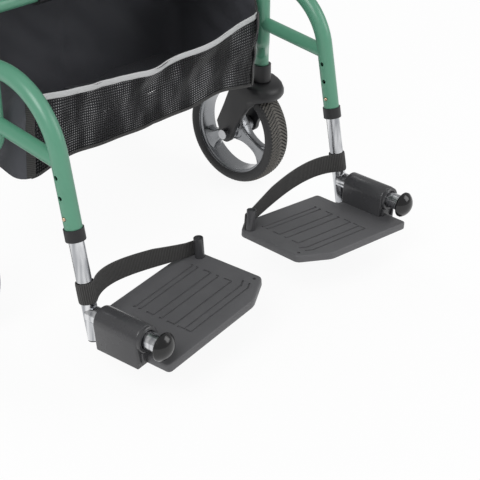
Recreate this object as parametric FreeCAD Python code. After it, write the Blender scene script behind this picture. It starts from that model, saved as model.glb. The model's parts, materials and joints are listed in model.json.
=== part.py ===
"""Rollator transport chair: a wheeled walker with a seat, a backrest and two swing-up footrests.

Millimetres. X runs to the sitter's left, -Y is the way the sitter faces, Z is up from the floor.
Side pieces are built for the sitter's right (negative X) and mirrored to the left.
"""
import math
import os

import FreeCAD
import Part

# Tubes and fits
tube_radius = 12.7
tube_wall = 1.7
slide_clearance = 0.1
running_clearance = 0.06
part_gap = 0.4
inner_tube_wall = 1.6
cross_tube_radius = 11.0
brace_radius = 11.0

# Side frame
side_plane = 280.0
front_post_y = -132.0
jog_bottom = 260.0
jog_top = 303.0
jog_bend = 30.0
rail_height = 505.0
rail_bend = 70.0
handle_post_y = 180.0
handle_post_top = 775.0
rear_cross_y = 95.0

# Footrest hanger: the foot is the lower end of the silver tube
hanger_foot_y = -313.0
hanger_foot_z = 61.0
hanger_lean = 10.43
hanger_length = 206.0
loop_start = 151.0
loop_top_height = 415.0
loop_bend = 110.0
brace_front_height = 314.0
brace_rise = 20.0
collar_start = 148.0
collar_length = 17.5
collar_radius = 14.5
snap_station = 182.0
snap_pitch = 29.0
snap_holes = 3
snap_radius = 3.1
snap_proud = 2.4
snap_depth = 7.0
snap_drill = 25.0

# Footplate, measured inward (u) and forward (v) from the hanger's foot
hinge_rise = 38.4
hinge_tube_radius = 12.7
hinge_tube_reach = 127.0
toe_in = 3.0
plate_rise = 5.0
plate_drop = 27.8
plate_thickness = 12.0
plate_back = -27.0
plate_front = 136.3
plate_outer = 2.0
plate_inner = 232.5
plate_chamfer_u = 179.9
plate_chamfer_v = 110.6
plate_notch_u = 30.0
plate_notch_v = 17.0
plate_hole_u = 222.0
plate_hole_v = 104.0
plate_hole_radius = 2.6
groove_rows = (7.0, 17.0, 42.0, 57.0, 81.0, 99.0, 111.0)
groove_width = 2.4
groove_depth = 1.2
groove_outer_u = 72.0
groove_inner_u = 198.0
block_back = 17.0
block_front = 101.0
block_radius = 20.0
heel_post_u = 221.4
heel_post_v = 0.5
heel_post_radius = 7.5
heel_post_height = 34.0
cap_radius = 20.5
cap_dome = 14.0
cap_rim = 2.0
cap_plug = 18.0

# Heel strap
strap_width = 31.0
strap_thickness = 2.2
strap_station = 71.0
strap_bow = 44.0
strap_steps = 10

# Wheels
wheel_radius = 101.5
wheel_plane = 325.0
tyre_width = 50.0
tyre_shoulder = 11.0
rim_radius = 80.5
rim_wall = 8.0
rim_width = 42.0
hub_radius = 19.0
hub_gap = 0.6
spoke_count = 3
spoke_width_hub = 26.0
spoke_width_rim = 40.0
spoke_thickness = 22.0
bearing_radius = 11.0
bearing_width = 8.0
axle_radius = 5.0
axle_head_radius = 9.0
axle_head = 8.0
front_axle_y = -39.0
caster_y = -92.0
rear_axle_y = 353.0

# Forks
fork_gap = 29.0
fork_arm = 9.0
tyre_clearance = 6.0
fork_crown_radius = 24.0
fork_end_radius = 17.0
housing_radius = 17.0
housing_length = 30.0
housing_cup = 17.0
crown_thickness = 12.2
swivel_gap = 1.0
stem_radius = 6.0
stem_nut_radius = 10.0
stem_nut = 5.0

# Rear frame
fold_pivot_y = 200.0
fold_pivot_z = 495.0
fold_pin_radius = 5.0
fold_ear = 4.0
fold_eye_radius = 13.0
fold_clamp_radius = 19.0
rear_cross_station = 80.0
leg_jog_top = 120.0
leg_jog_bottom = 170.0
leg_jog_bend = 40.0
leg_spigot = 40.0

# Brake
shoe_angle = 40.0
shoe_gap = 3.5
shoe_thickness = 9.0
shoe_length = 26.0
shoe_width = 36.0
shoe_hollow = 1.0
shoe_arm_width = 16.0
shoe_arm_radius = 6.5
shoe_pin_radius = 3.0
shoe_pivot_back = 36.0
shoe_pivot_rise = 12.0
shoe_ear = 5.0
cable_radius = 2.5
cable_exit = 62.0
cable_turn = 38.0
cable_bend = 26.0

# Seat
seat_half_width = 245.0
seat_front = -150.0
seat_rear = 158.0
seat_pan_thickness = 8.0
seat_corner = 38.0
cushion_profile = ((0.0, 7.0), (13.3, 0.0), (26.6, 2.8), (35.0, 14.0))
cushion_crown = 8.0
seat_hinge_width = 36.0
seat_hinge_wall = 4.0
seat_hinge_x = 160.0

# Handles
handle_tube_bottom = 635.0
grip_height = 940.0
handle_bend = 45.0
grip_start = 262.0
grip_length = 120.0
grip_radius = 16.5
bracket_start = 228.0
bracket_length = 30.0
bracket_radius = 17.0
lever_drop = 30.0
lever_pivot_y = 243.0
lever_radius = 4.5
lever_reach = 128.0
lever_fall = 26.0
lever_knee = 32.0
lever_knee_fall = 22.0
lever_bend = 25.0
lever_tip_radius = 6.75
lever_eye_radius = 9.0
lever_pin_radius = 3.0
lever_half_width = 8.0
lever_ear = 4.0
lever_ear_root = 13.5
clamp_bottom = 747.0
clamp_lip = 5.0
clamp_radius = 17.5
knob_drop = 14.0
knob_radius = 17.0
knob_length = 18.0
knob_lobes = 5
knob_lobe_radius = 4.5
knob_shaft_radius = 4.0
knob_boss = 6.0
knob_boss_radius = 12.0

# Armrests
arm_pivot_y = 128.0
arm_pivot_z = 725.0
arm_tube_radius = 8.0
arm_front = -112.0
arm_pad_rear = 88.0
arm_pad_half_width = 24.0
arm_pad_thickness = 22.0
arm_pad_corner = 16.8
arm_pad_round = 4.8
arm_pin_radius = 4.0
arm_ear = 4.0
arm_eye_radius = 11.0
arm_clamp_height = 26.0
arm_clamp_radius = 17.0

# Backrest
back_pivot_z = 675.0
back_bar_x = 242.0
back_bar_radius = 8.0
back_bar_rise = 60.0
back_bar_bow = 60.0
back_bar_bend = 30.0
back_curve = 842.0
back_pad_half_width = 195.0
back_pad_half_height = 88.0
back_pad_thickness = 30.0
back_pad_round = 12.0
back_pin_radius = 4.0
back_clamp_height = 24.0
back_eye_width = 16.0
back_eye_radius = 12.0

# Bag under the seat
bag_half_width = 252.0
bag_front = -170.0
bag_rear = 55.0
bag_bottom = 258.0
bag_top = 440.0
bag_front_top = 357.0
bag_wall = 2.5
bag_corner = 30.0
bag_front_inset = 18.0
tab_width = 32.0
tab_thickness = 2.0
tab_stations = (-38.0, 36.0)

# Worked out from the above
back_bar_height = back_pivot_z + back_bar_rise
back_pad_bottom = back_bar_height - back_pad_half_height
back_pad_top = back_bar_height + back_pad_half_height
tube_bore = tube_radius - tube_wall
inner_tube_radius = tube_bore - slide_clearance
side_x = -side_plane
wheel_x = -wheel_plane
wheel_height = wheel_radius
trail = front_axle_y - caster_y
arch_radius = wheel_radius + tyre_clearance
arch_height = wheel_height + math.sqrt(arch_radius ** 2 - trail ** 2)
housing_bottom = arch_height + crown_thickness + swivel_gap
housing_top = housing_bottom + housing_length
front_post_bottom = housing_bottom + housing_cup
fork_outer = fork_gap + fork_arm
lean_sin = math.sin(math.radians(hanger_lean))
lean_cos = math.cos(math.radians(hanger_lean))
hinge_height = hanger_foot_z + hinge_rise
leg_length = math.hypot(rear_axle_y - fold_pivot_y, fold_pivot_z - wheel_height)
leg_down = ((rear_axle_y - fold_pivot_y) / leg_length, (wheel_height - fold_pivot_z) / leg_length)
leg_back = (-leg_down[1], leg_down[0])
rear_crown_station = leg_length - wheel_radius - tyre_clearance - fork_crown_radius + 2 * swivel_gap
seat_hinge_angle = math.radians(45)
seat_hinge_y = front_post_y + rail_bend * (1 - math.cos(seat_hinge_angle))
seat_hinge_z = rail_height - rail_bend * (1 - math.sin(seat_hinge_angle))
seat_pan_bottom = rail_height + cross_tube_radius + part_gap
lever_pivot_z = grip_height - lever_drop


def vec(x, y, z):
    return FreeCAD.Vector(x, y, z)


def cylinder(radius, start, end):
    return Part.makeCylinder(radius, (end - start).Length, start, end - start)


def ring(outer, inner, start, end):
    return cylinder(outer, start, end).cut(cylinder(inner, start, end))


def box(low, high):
    return Part.makeBox(high[0] - low[0], high[1] - low[1], high[2] - low[2], vec(*low))


def mirrored(shape):
    return shape.mirror(vec(0, 0, 0), vec(1, 0, 0))


def both_sides(solids):
    return Part.makeCompound(solids + [mirrored(solid) for solid in solids])


def bent_path(points, radii):
    """Straight runs through the points, joined by tangent arcs of the given radii."""
    edges = []
    start = points[0]
    for before, corner, after, radius in zip(points, points[1:], points[2:], radii):
        back = (before - corner).normalize()
        ahead = (after - corner).normalize()
        half_turn = (math.pi - back.getAngle(ahead)) / 2
        reach = radius * math.tan(half_turn)
        first = corner + back * reach
        last = corner + ahead * reach
        middle_way = (back + ahead).normalize()
        middle = corner + middle_way * (radius / math.cos(half_turn) - radius)
        edges.append(Part.LineSegment(start, first).toShape())
        edges.append(Part.Arc(first, middle, last).toShape())
        start = last
    edges.append(Part.LineSegment(start, points[-1]).toShape())
    return Part.Wire(edges)


def rod(points, radii, radius):
    circle = Part.Circle(points[0], points[1] - points[0], radius).toShape()
    return bent_path(points, radii).makePipeShell([Part.Wire([circle])], True, False)


def tube(points, radii, radius, wall):
    return rod(points, radii, radius).cut(rod(points, radii, radius - wall))


def outline_solid(edges, along):
    return Part.Face(Part.Wire(edges)).extrude(along)


def link(first, first_radius, last, last_radius, x_low, x_high):
    """A flat arm in the YZ plane: two round ends joined by their outer tangents."""
    run = (last[0] - first[0], last[1] - first[1])
    length = math.hypot(*run)
    heading = math.atan2(run[1], run[0])
    spread = math.acos((first_radius - last_radius) / length)

    def on(centre, radius, angle):
        return vec(x_low, centre[0] + radius * math.cos(angle), centre[1] + radius * math.sin(angle))

    a = on(first, first_radius, heading + spread)
    b = on(first, first_radius, heading + math.pi)
    c = on(first, first_radius, heading - spread)
    d = on(last, last_radius, heading - spread)
    e = on(last, last_radius, heading)
    f = on(last, last_radius, heading + spread)
    edges = [
        Part.Arc(a, b, c).toShape(),
        Part.LineSegment(c, d).toShape(),
        Part.Arc(d, e, f).toShape(),
        Part.LineSegment(f, a).toShape(),
    ]
    return outline_solid(edges, vec(x_high - x_low, 0, 0))


def rounded_rectangle(half_x, y_low, y_high, corner, z):
    """A closed wire with round corners, at height z."""
    s = corner * (1 - math.sqrt(0.5))
    left, right = -half_x, half_x
    y_far = y_high - corner
    runs = [
        ((left + corner, y_low), (right - corner, y_low), (right - s, y_low + s), (right, y_low + corner)),
        ((right, y_low + corner), (right, y_far), (right - s, y_high - s), (right - corner, y_high)),
        ((right - corner, y_high), (left + corner, y_high), (left + s, y_high - s), (left, y_far)),
        ((left, y_far), (left, y_low + corner), (left + s, y_low + s), (left + corner, y_low)),
    ]
    edges = []
    for start, turn, middle, end in runs:
        edges.append(Part.LineSegment(vec(*start, z), vec(*turn, z)).toShape())
        edges.append(Part.Arc(vec(*turn, z), vec(*middle, z), vec(*end, z)).toShape())
    return Part.Wire(edges)


# Side frame
def main_tube_points():
    return [
        vec(wheel_x, caster_y, front_post_bottom),
        vec(wheel_x, caster_y, jog_bottom),
        vec(side_x, front_post_y, jog_top),
        vec(side_x, front_post_y, rail_height),
        vec(side_x, handle_post_y, rail_height),
        vec(side_x, handle_post_y, handle_post_top),
    ]


def main_tube_bends():
    return [jog_bend, jog_bend, rail_bend, rail_bend]


def main_tube_outside():
    return rod(main_tube_points(), main_tube_bends(), tube_radius)


def main_tube():
    whole = tube(main_tube_points(), main_tube_bends(), tube_radius, tube_wall)
    screw = cylinder(
        knob_shaft_radius + part_gap,
        vec(side_x, handle_post_y, knob_height()),
        vec(side_x - 2 * tube_radius, handle_post_y, knob_height()),
    )
    return whole.cut(screw)


def cross_tubes():
    outside = main_tube_outside()
    solids = []
    for y, z in ((seat_hinge_y, seat_hinge_z), (rear_cross_y, rail_height)):
        start, end = vec(side_x, y, z), vec(-side_x, y, z)
        whole = tube([start, end], [], cross_tube_radius, tube_wall)
        solids.append(whole.cut(outside).cut(mirrored(outside)))
    return Part.makeCompound(solids)


# Footrest loop, brace and collar
def along_hanger(station):
    return vec(side_x, hanger_foot_y + station * lean_sin, hanger_foot_z + station * lean_cos)


def loop_points():
    corner = along_hanger((loop_top_height - hanger_foot_z) / lean_cos)
    return [along_hanger(loop_start), corner, vec(side_x, front_post_y, loop_top_height)]


def snap_stations():
    return [snap_station + snap_pitch * i for i in range(snap_holes)]


def footrest_loop():
    whole = tube(loop_points(), [loop_bend], tube_radius, tube_wall)
    for station in snap_stations():
        middle = along_hanger(station)
        reach = vec(snap_drill, 0, 0)
        whole = whole.cut(cylinder(snap_radius + part_gap, middle - reach, middle + reach))
    return whole.cut(main_tube_outside())


def footrest_brace():
    front = along_hanger((brace_front_height - hanger_foot_z) / lean_cos)
    rear = vec(side_x, front_post_y, brace_front_height + brace_rise)
    whole = tube([front, rear], [], brace_radius, tube_wall)
    loop = rod(loop_points(), [loop_bend], tube_radius)
    return whole.cut(loop).cut(main_tube_outside())


def tube_collar():
    start = along_hanger(collar_start)
    whole = cylinder(collar_radius, start, along_hanger(collar_start + collar_length))
    seat = cylinder(tube_radius, along_hanger(loop_start), along_hanger(loop_start + collar_length))
    whole = whole.cut(seat)
    return whole.cut(cylinder(inner_tube_radius + part_gap, start, along_hanger(loop_start)))


# Footrest: hanger with its hinge tube, caps, snap buttons, plate and strap
def placed_footrest(shape, tilt):
    """From the footrest's own frame (x inward, -y forward, hinge axis at the origin) to the chair's."""
    moved = shape.copy()
    moved.rotate(vec(0, 0, 0), vec(0, -1, 0), tilt)
    moved.rotate(vec(0, 0, 0), vec(0, 0, 1), toe_in)
    moved.translate(vec(side_x, hanger_foot_y, hinge_height))
    return moved


def hinge_tube_local(radius):
    return cylinder(radius, vec(0, hinge_rise * lean_sin, 0), vec(0, -hinge_tube_reach, 0))


def hanger():
    top = along_hanger(hanger_length)
    upright = cylinder(inner_tube_radius, along_hanger(0), top)
    arm = placed_footrest(hinge_tube_local(hinge_tube_radius), 0)
    whole = upright.fuse(arm)
    whole = whole.cut(cylinder(inner_tube_radius - inner_tube_wall, along_hanger(0), top))
    hollow = hinge_tube_local(hinge_tube_radius - inner_tube_wall)
    open_end = box(
        (-block_radius, -hinge_tube_reach, -block_radius),
        (block_radius, -inner_tube_radius - inner_tube_wall, block_radius),
    )
    whole = whole.cut(placed_footrest(hollow.common(open_end), 0))
    middle = along_hanger(snap_station)
    reach = vec(snap_drill, 0, 0)
    return whole.cut(cylinder(snap_radius + slide_clearance, middle - reach, middle + reach))


def hanger_caps():
    """A dome plug in the hinge tube's open end and a flat plug in the hanger's foot."""
    face = -hinge_tube_reach
    rim = face - cap_rim
    height = cap_dome - cap_rim
    ball = (cap_radius ** 2 + height ** 2) / (2 * height)
    half_turn = math.asin(cap_radius / ball) / 2
    shoulder = vec(ball * math.sin(half_turn), rim - height + ball * (1 - math.cos(half_turn)), 0)
    corners = [vec(0, rim - height, 0), vec(0, face, 0), vec(cap_radius, face, 0), vec(cap_radius, rim, 0)]
    edges = [Part.LineSegment(a, b).toShape() for a, b in zip(corners, corners[1:])]
    edges.append(Part.Arc(corners[-1], shoulder, corners[0]).toShape())
    dome = Part.Face(Part.Wire(edges)).revolve(vec(0, 0, 0), vec(0, 1, 0), 360)
    bore = hinge_tube_radius - inner_tube_wall
    plug = cylinder(bore, vec(0, face + cap_plug, 0), vec(0, face, 0))
    foot_plug = cylinder(inner_tube_radius - inner_tube_wall, along_hanger(0), along_hanger(cap_plug))
    flange = cylinder(inner_tube_radius, along_hanger(-inner_tube_wall), along_hanger(0))
    return Part.makeCompound([placed_footrest(dome.fuse(plug), 0), foot_plug.fuse(flange)])


def snap_button(outward):
    """A round-nosed catch that stands out of the loop's lowest hole; outward is -1 or 1 along X."""
    middle = along_hanger(snap_station)
    way = vec(outward, 0, 0)
    inner = middle + way * (tube_radius + snap_proud - snap_depth)
    nose = middle + way * (tube_radius + snap_proud - snap_radius)
    return cylinder(snap_radius, inner, nose).fuse(Part.makeSphere(snap_radius, nose))


def footplate():
    top = -plate_drop
    bottom = top - plate_thickness
    corners = [
        (plate_notch_u, plate_back),
        (plate_inner, plate_back),
        (plate_inner, plate_chamfer_v),
        (plate_chamfer_u, plate_front),
        (-plate_outer, plate_front),
        (-plate_outer, plate_notch_v),
        (plate_notch_u, plate_notch_v),
    ]
    points = [vec(u, -v, bottom) for u, v in corners]
    plate = Part.Face(Part.makePolygon(points + points[:1])).extrude(vec(0, 0, plate_thickness))
    for v in groove_rows:
        low = (groove_outer_u, -v - groove_width / 2, top - groove_depth)
        plate = plate.cut(box(low, (groove_inner_u, -v + groove_width / 2, top + groove_depth)))
    hole = vec(plate_hole_u, -plate_hole_v, bottom)
    plate = plate.cut(Part.makeCylinder(plate_hole_radius, plate_thickness, hole))
    arch = cylinder(block_radius, vec(0, -block_back, 0), vec(0, -block_front, 0))
    walls = box((-block_radius, -block_front, bottom), (block_radius, -block_back, 0))
    post_foot = vec(heel_post_u, -heel_post_v, top)
    post = Part.makeCylinder(heel_post_radius, heel_post_height, post_foot)
    bore = cylinder(hinge_tube_radius + running_clearance, vec(0, 0, 0), vec(0, -plate_front, 0))
    return placed_footrest(plate.fuse([arch, walls, post]).cut(bore), plate_rise)


def heel_strap():
    """A webbing loop round the hanger, a band bowed behind the heel and a loop round the post."""
    middle = along_hanger(strap_station)
    half = strap_width / 2
    inner = inner_tube_radius + part_gap
    start = along_hanger(strap_station - half)
    end = along_hanger(strap_station + half)
    hanger_loop = ring(inner + strap_thickness, inner, start, end)
    post_inner = heel_post_radius + part_gap
    foot = vec(heel_post_u, -heel_post_v, -plate_drop + part_gap)
    head = foot + vec(0, 0, strap_width)
    post_loop = placed_footrest(ring(post_inner + strap_thickness, post_inner, foot, head), plate_rise)
    post_middle = placed_footrest(Part.Vertex((foot + head) * 0.5), plate_rise).Point
    span = post_middle - middle
    rise = vec(0, 0, half)
    sections = []
    for i in range(strap_steps + 1):
        t = i / strap_steps
        at = middle + span * t + vec(0, strap_bow * (1 - (2 * t - 1) ** 2), 0)
        slope = vec(span.x, span.y + strap_bow * (4 - 8 * t), 0)
        side = vec(-slope.y, slope.x, 0).normalize() * (strap_thickness / 2)
        corners = [at + side + rise, at - side + rise, at - side - rise, at + side - rise]
        sections.append(Part.makePolygon(corners + corners[:1]))
    band = Part.makeLoft(sections, True, True)
    below, above = along_hanger(strap_station - strap_width), along_hanger(strap_station + strap_width)
    hanger_core = cylinder(inner, below, above)
    post_core = placed_footrest(cylinder(post_inner, foot - rise, head + rise), plate_rise)
    return band.fuse([hanger_loop, post_loop]).cut(hanger_core).cut(post_core)


# Wheels, in their own frame with the axle along X
def tyre_local():
    half = tyre_width / 2
    bead = rim_width / 2
    flat = half - tyre_shoulder
    turn = tyre_shoulder * math.sqrt(0.5)
    shoulder_z = wheel_radius - tyre_shoulder
    round_z = shoulder_z + turn

    def at(x, z):
        return vec(x, 0, z)

    edges = [
        Part.LineSegment(at(-bead, rim_radius), at(bead, rim_radius)).toShape(),
        Part.LineSegment(at(bead, rim_radius), at(half, shoulder_z)).toShape(),
        Part.Arc(at(half, shoulder_z), at(flat + turn, round_z), at(flat, wheel_radius)).toShape(),
        Part.LineSegment(at(flat, wheel_radius), at(-flat, wheel_radius)).toShape(),
        Part.Arc(at(-flat, wheel_radius), at(-flat - turn, round_z), at(-half, shoulder_z)).toShape(),
        Part.LineSegment(at(-half, shoulder_z), at(-bead, rim_radius)).toShape(),
    ]
    return Part.Face(Part.Wire(edges)).revolve(vec(0, 0, 0), vec(1, 0, 0), 360)


def along_x(half_length):
    return vec(-half_length, 0, 0), vec(half_length, 0, 0)


def rim_local():
    barrel = ring(rim_radius, rim_radius - rim_wall, *along_x(rim_width / 2))
    hub_half = fork_gap - hub_gap
    hub = cylinder(hub_radius, *along_x(hub_half))
    half = spoke_thickness / 2
    reach = rim_radius - rim_wall / 2
    spokes = []
    for i in range(spoke_count):
        corners = [
            vec(-half, -spoke_width_hub / 2, 0),
            vec(-half, spoke_width_hub / 2, 0),
            vec(-half, spoke_width_rim / 2, reach),
            vec(-half, -spoke_width_rim / 2, reach),
        ]
        spoke = Part.Face(Part.makePolygon(corners + corners[:1])).extrude(vec(spoke_thickness, 0, 0))
        spoke.rotate(vec(0, 0, 0), vec(1, 0, 0), 360 / spoke_count * i)
        spokes.append(spoke)
    whole = barrel.fuse([hub] + spokes).cut(cylinder(axle_radius + running_clearance, *along_x(hub_half)))
    bearings = []
    for low, high in ((-hub_half, bearing_width - hub_half), (hub_half - bearing_width, hub_half)):
        seat = cylinder(bearing_radius, vec(low, 0, 0), vec(high, 0, 0))
        whole = whole.cut(seat)
        bearings.append(seat.cut(cylinder(axle_radius + running_clearance, *along_x(hub_half))))
    return Part.makeCompound([whole] + bearings)


def at_axle(shape, axle_y):
    moved = shape.copy()
    moved.translate(vec(wheel_x, axle_y, wheel_height))
    return moved


def axle_bolt(axle_y):
    shank = cylinder(axle_radius, *along_x(fork_outer))
    heads = [
        cylinder(axle_head_radius, vec(side * fork_outer, 0, 0), vec(side * (fork_outer + axle_head), 0, 0))
        for side in (-1, 1)
    ]
    return at_axle(shank.fuse(heads), axle_y)


# Forks
def fork(crown, axle):
    """Two arms and a crown over the tyre, between two points of the wheel's plane."""
    low, high = wheel_x - fork_outer, wheel_x + fork_outer
    whole = link(crown, fork_crown_radius, axle, fork_end_radius, low, high)
    start = vec(wheel_x - fork_gap, *axle)
    end = vec(wheel_x + fork_gap, *axle)
    whole = whole.cut(cylinder(arch_radius, start, end))
    return whole.cut(cylinder(axle_radius, vec(low, *axle), vec(high, *axle)))


def front_fork():
    top = housing_bottom - swivel_gap
    whole = fork((caster_y, top - fork_crown_radius), (front_axle_y, wheel_height))
    flat = box((wheel_x - fork_outer, caster_y - stem_nut_radius, top - fork_crown_radius),
               (wheel_x + fork_outer, caster_y + stem_nut_radius, top))
    clear = cylinder(arch_radius,
                     vec(wheel_x - fork_gap, front_axle_y, wheel_height),
                     vec(wheel_x + fork_gap, front_axle_y, wheel_height))
    return whole.fuse(flat.cut(clear)).cut(cylinder(stem_radius, stem_foot(), stem_head()))


def stem_foot():
    return vec(wheel_x, caster_y, arch_height + swivel_gap)


def stem_head():
    return vec(wheel_x, caster_y, housing_top + swivel_gap)


def fork_steel():
    nut = cylinder(stem_nut_radius, stem_head(), stem_head() + vec(0, 0, stem_nut))
    stem = cylinder(stem_radius, stem_foot(), stem_head()).fuse(nut)
    return Part.makeCompound([stem, axle_bolt(front_axle_y)])


def caster_housing():
    """A plastic cup on the post's lower end, with a second bush for the stem inside the tube."""
    low = vec(wheel_x, caster_y, housing_bottom)
    seat = vec(wheel_x, caster_y, front_post_bottom)
    high = vec(wheel_x, caster_y, housing_top)
    cup = cylinder(housing_radius, low, high).cut(cylinder(tube_radius, seat, high))
    stem_hole = cylinder(stem_radius + running_clearance, low, high)
    bush = cylinder(tube_bore, high - vec(0, 0, bearing_width), high)
    return [cup.cut(stem_hole), bush.cut(stem_hole)]


# Rear frame
def along_leg(station, back=0.0):
    """A point (y, z) of the rear leg's plane: along the leg from the fold pin, then out behind it."""
    y = fold_pivot_y + leg_down[0] * station + leg_back[0] * back
    return y, fold_pivot_z + leg_down[1] * station + leg_back[1] * back


def leg_end():
    return rear_crown_station - fork_crown_radius


def cable_points():
    """The brake cable's way out of the leg and down to the eye of the shoe's arm."""
    stops = [
        (leg_end() - cable_exit, tube_bore),
        (leg_end() - cable_turn, shoe_pivot_back),
        (leg_end() + shoe_pivot_rise - shoe_arm_radius - part_gap, shoe_pivot_back),
    ]
    return [vec(wheel_x, *along_leg(station, back)) for station, back in stops]


def leg_points(top):
    """The rear leg's run from a station near the fold pin, jogged outwards to the wheel's plane."""
    return [
        vec(side_x, *along_leg(top)),
        vec(side_x, *along_leg(leg_jog_top)),
        vec(wheel_x, *along_leg(leg_jog_bottom)),
        vec(wheel_x, *along_leg(leg_end())),
    ]


def leg_rod(top, radius):
    return rod(leg_points(top), [leg_jog_bend, leg_jog_bend], radius)


def rear_leg():
    start = vec(side_x, *along_leg(0))
    whole = leg_rod(0, tube_radius).cut(leg_rod(2 * fold_eye_radius, tube_bore))
    across = vec(tube_radius, 0, 0)
    eye = cylinder(fold_eye_radius, start - across, start + across)
    pin = cylinder(fold_pin_radius + running_clearance, start - across * 2, start + across * 2)
    inside, outside, _ = cable_points()
    exit_hole = cylinder(cable_radius + part_gap, inside - (outside - inside), outside)
    return whole.fuse(eye).cut(pin).cut(exit_hole)


def rear_cross_tube():
    y, z = along_leg(rear_cross_station)
    whole = tube([vec(side_x, y, z), vec(-side_x, y, z)], [], cross_tube_radius, tube_wall)
    leg = leg_rod(0, tube_radius)
    return whole.cut(leg).cut(mirrored(leg))


def fold_hinge():
    """A clamp moulded round the main tube's bend, with two ears and the pin that the rear leg turns on."""
    turn = math.radians(45)
    bend = (handle_post_y - rail_bend * (1 - math.sin(turn)), rail_height + rail_bend * (1 - math.cos(turn)))
    pivot = (fold_pivot_y, fold_pivot_z)
    half = tube_radius + part_gap + fold_ear
    whole = link(bend, fold_clamp_radius, pivot, fold_eye_radius, side_x - half, side_x + half)
    slot = tube_radius + part_gap
    slot_low, slot_high = vec(side_x - slot, *pivot), vec(side_x + slot, *pivot)
    whole = whole.cut(cylinder(fold_eye_radius + 2 * fold_ear, slot_low, slot_high))
    low, high = vec(side_x - half - fold_ear, *pivot), vec(side_x + half + fold_ear, *pivot)
    pin = cylinder(fold_pin_radius, low, high)
    heads = [
        cylinder(axle_head_radius, low, vec(side_x - half, *pivot)),
        cylinder(axle_head_radius, vec(side_x + half, *pivot), high),
    ]
    return [whole.cut(main_tube_outside()).cut(pin), pin.fuse(heads)]


def shoe_pivot():
    return along_leg(leg_end() + shoe_pivot_rise, shoe_pivot_back)


def rear_fork():
    crown = along_leg(rear_crown_station)
    whole = fork(crown, (rear_axle_y, wheel_height))
    flat = cylinder(fork_crown_radius, vec(wheel_x, *along_leg(leg_end())), vec(wheel_x, *crown))
    clear = cylinder(arch_radius,
                     vec(wheel_x - fork_gap, rear_axle_y, wheel_height),
                     vec(wheel_x + fork_gap, rear_axle_y, wheel_height))
    spigot = cylinder(tube_bore, vec(wheel_x, *along_leg(leg_end() - leg_spigot / 2)), vec(wheel_x, *crown))
    whole = whole.fuse([flat.cut(clear), spigot.cut(clear)])
    inner = shoe_arm_width / 2 + part_gap
    ears = [
        link(crown, fork_end_radius, shoe_pivot(), shoe_arm_radius, wheel_x + low, wheel_x + low + shoe_ear)
        for low in (-inner - shoe_ear, inner)
    ]
    whole = whole.fuse([ear.cut(clear) for ear in ears])
    low, high = vec(wheel_x - inner, *shoe_pivot()), vec(wheel_x + inner, *shoe_pivot())
    return whole.cut(cylinder(shoe_arm_radius + shoe_ear, low, high)).cut(shoe_pin())


def shoe_pin():
    half = shoe_arm_width / 2 + part_gap + shoe_ear
    pivot = shoe_pivot()
    return cylinder(shoe_pin_radius, vec(wheel_x - half, *pivot), vec(wheel_x + half, *pivot))


def rear_bolts():
    return [axle_bolt(rear_axle_y), shoe_pin()]


def brake_shoe():
    """An arm on the rear fork that swings a rubber-faced block against the tyre."""
    turn = math.radians(shoe_angle)

    def from_axle(radius, across):
        station = leg_length - radius * math.cos(turn) + across * math.sin(turn)
        return along_leg(station, radius * math.sin(turn) + across * math.cos(turn))

    face = wheel_radius + shoe_gap
    half = shoe_length / 2
    corners = [
        from_axle(face + shoe_hollow, -half),
        from_axle(face, 0),
        from_axle(face + shoe_hollow, half),
        from_axle(face + shoe_thickness, half),
        from_axle(face + shoe_thickness, -half),
    ]
    low = wheel_x - shoe_width / 2
    points = [vec(low, *corner) for corner in corners]
    block = Part.Face(Part.makePolygon(points + points[:1])).extrude(vec(shoe_width, 0, 0))
    half_arm = shoe_arm_width / 2
    hold = from_axle(face + shoe_thickness, 0)
    pivot = shoe_pivot()
    arm = link(pivot, shoe_arm_radius, hold, shoe_arm_radius / 2, wheel_x - half_arm, wheel_x + half_arm)
    pin = cylinder(shoe_pin_radius + running_clearance, vec(low, *pivot), vec(low + shoe_width, *pivot))
    return block.fuse(arm).cut(pin)


def brake_cable_end():
    return rod(cable_points(), [cable_bend], cable_radius)


# Seat
def seat_pan():
    low = rounded_rectangle(seat_half_width, seat_front, seat_rear, seat_corner, seat_pan_bottom)
    plate = Part.Face(low).extrude(vec(0, 0, seat_pan_thickness))
    hold = cross_tube_radius + running_clearance
    outer = hold + seat_hinge_wall
    for x in (-seat_hinge_x, seat_hinge_x):
        start = vec(x - seat_hinge_width / 2, seat_hinge_y, seat_hinge_z)
        end = start + vec(seat_hinge_width, 0, 0)
        near, far = seat_hinge_y - outer, seat_hinge_y + outer
        web = box((start.x, near, seat_hinge_z), (end.x, far, seat_pan_bottom))
        plate = plate.fuse([cylinder(outer, start, end), web]).cut(cylinder(hold, start, end))
    return plate


def seat_cushion():
    """A padded cushion: sides drawn in above and below the bulge, and a crowned top."""
    base = seat_pan_bottom + seat_pan_thickness
    wires = []
    for rise, inset in cushion_profile:
        half = seat_half_width - inset
        wire = rounded_rectangle(half, seat_front + inset, seat_rear - inset, seat_corner, base + rise)
        wires.append(wire)
    body = Part.makeLoft(wires, True, False)
    rise, draw = cushion_profile[-1]
    reach = seat_half_width - draw
    ball = (reach ** 2 + cushion_crown ** 2) / (2 * cushion_crown)
    middle_z = base + rise + cushion_crown - ball
    lid = cylinder(ball, vec(0, seat_front + draw, middle_z), vec(0, seat_rear - draw, middle_z))
    column = Part.Face(wires[-1]).extrude(vec(0, 0, 2 * cushion_crown))
    return body.fuse(column.common(lid)).removeSplitter()


# Handles
def handle_points():
    return [
        vec(side_x, handle_post_y, handle_tube_bottom),
        vec(side_x, handle_post_y, grip_height),
        vec(side_x, grip_start + grip_length - inner_tube_wall, grip_height),
    ]


def handle_tube():
    return tube(handle_points(), [handle_bend], inner_tube_radius, inner_tube_wall)


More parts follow.
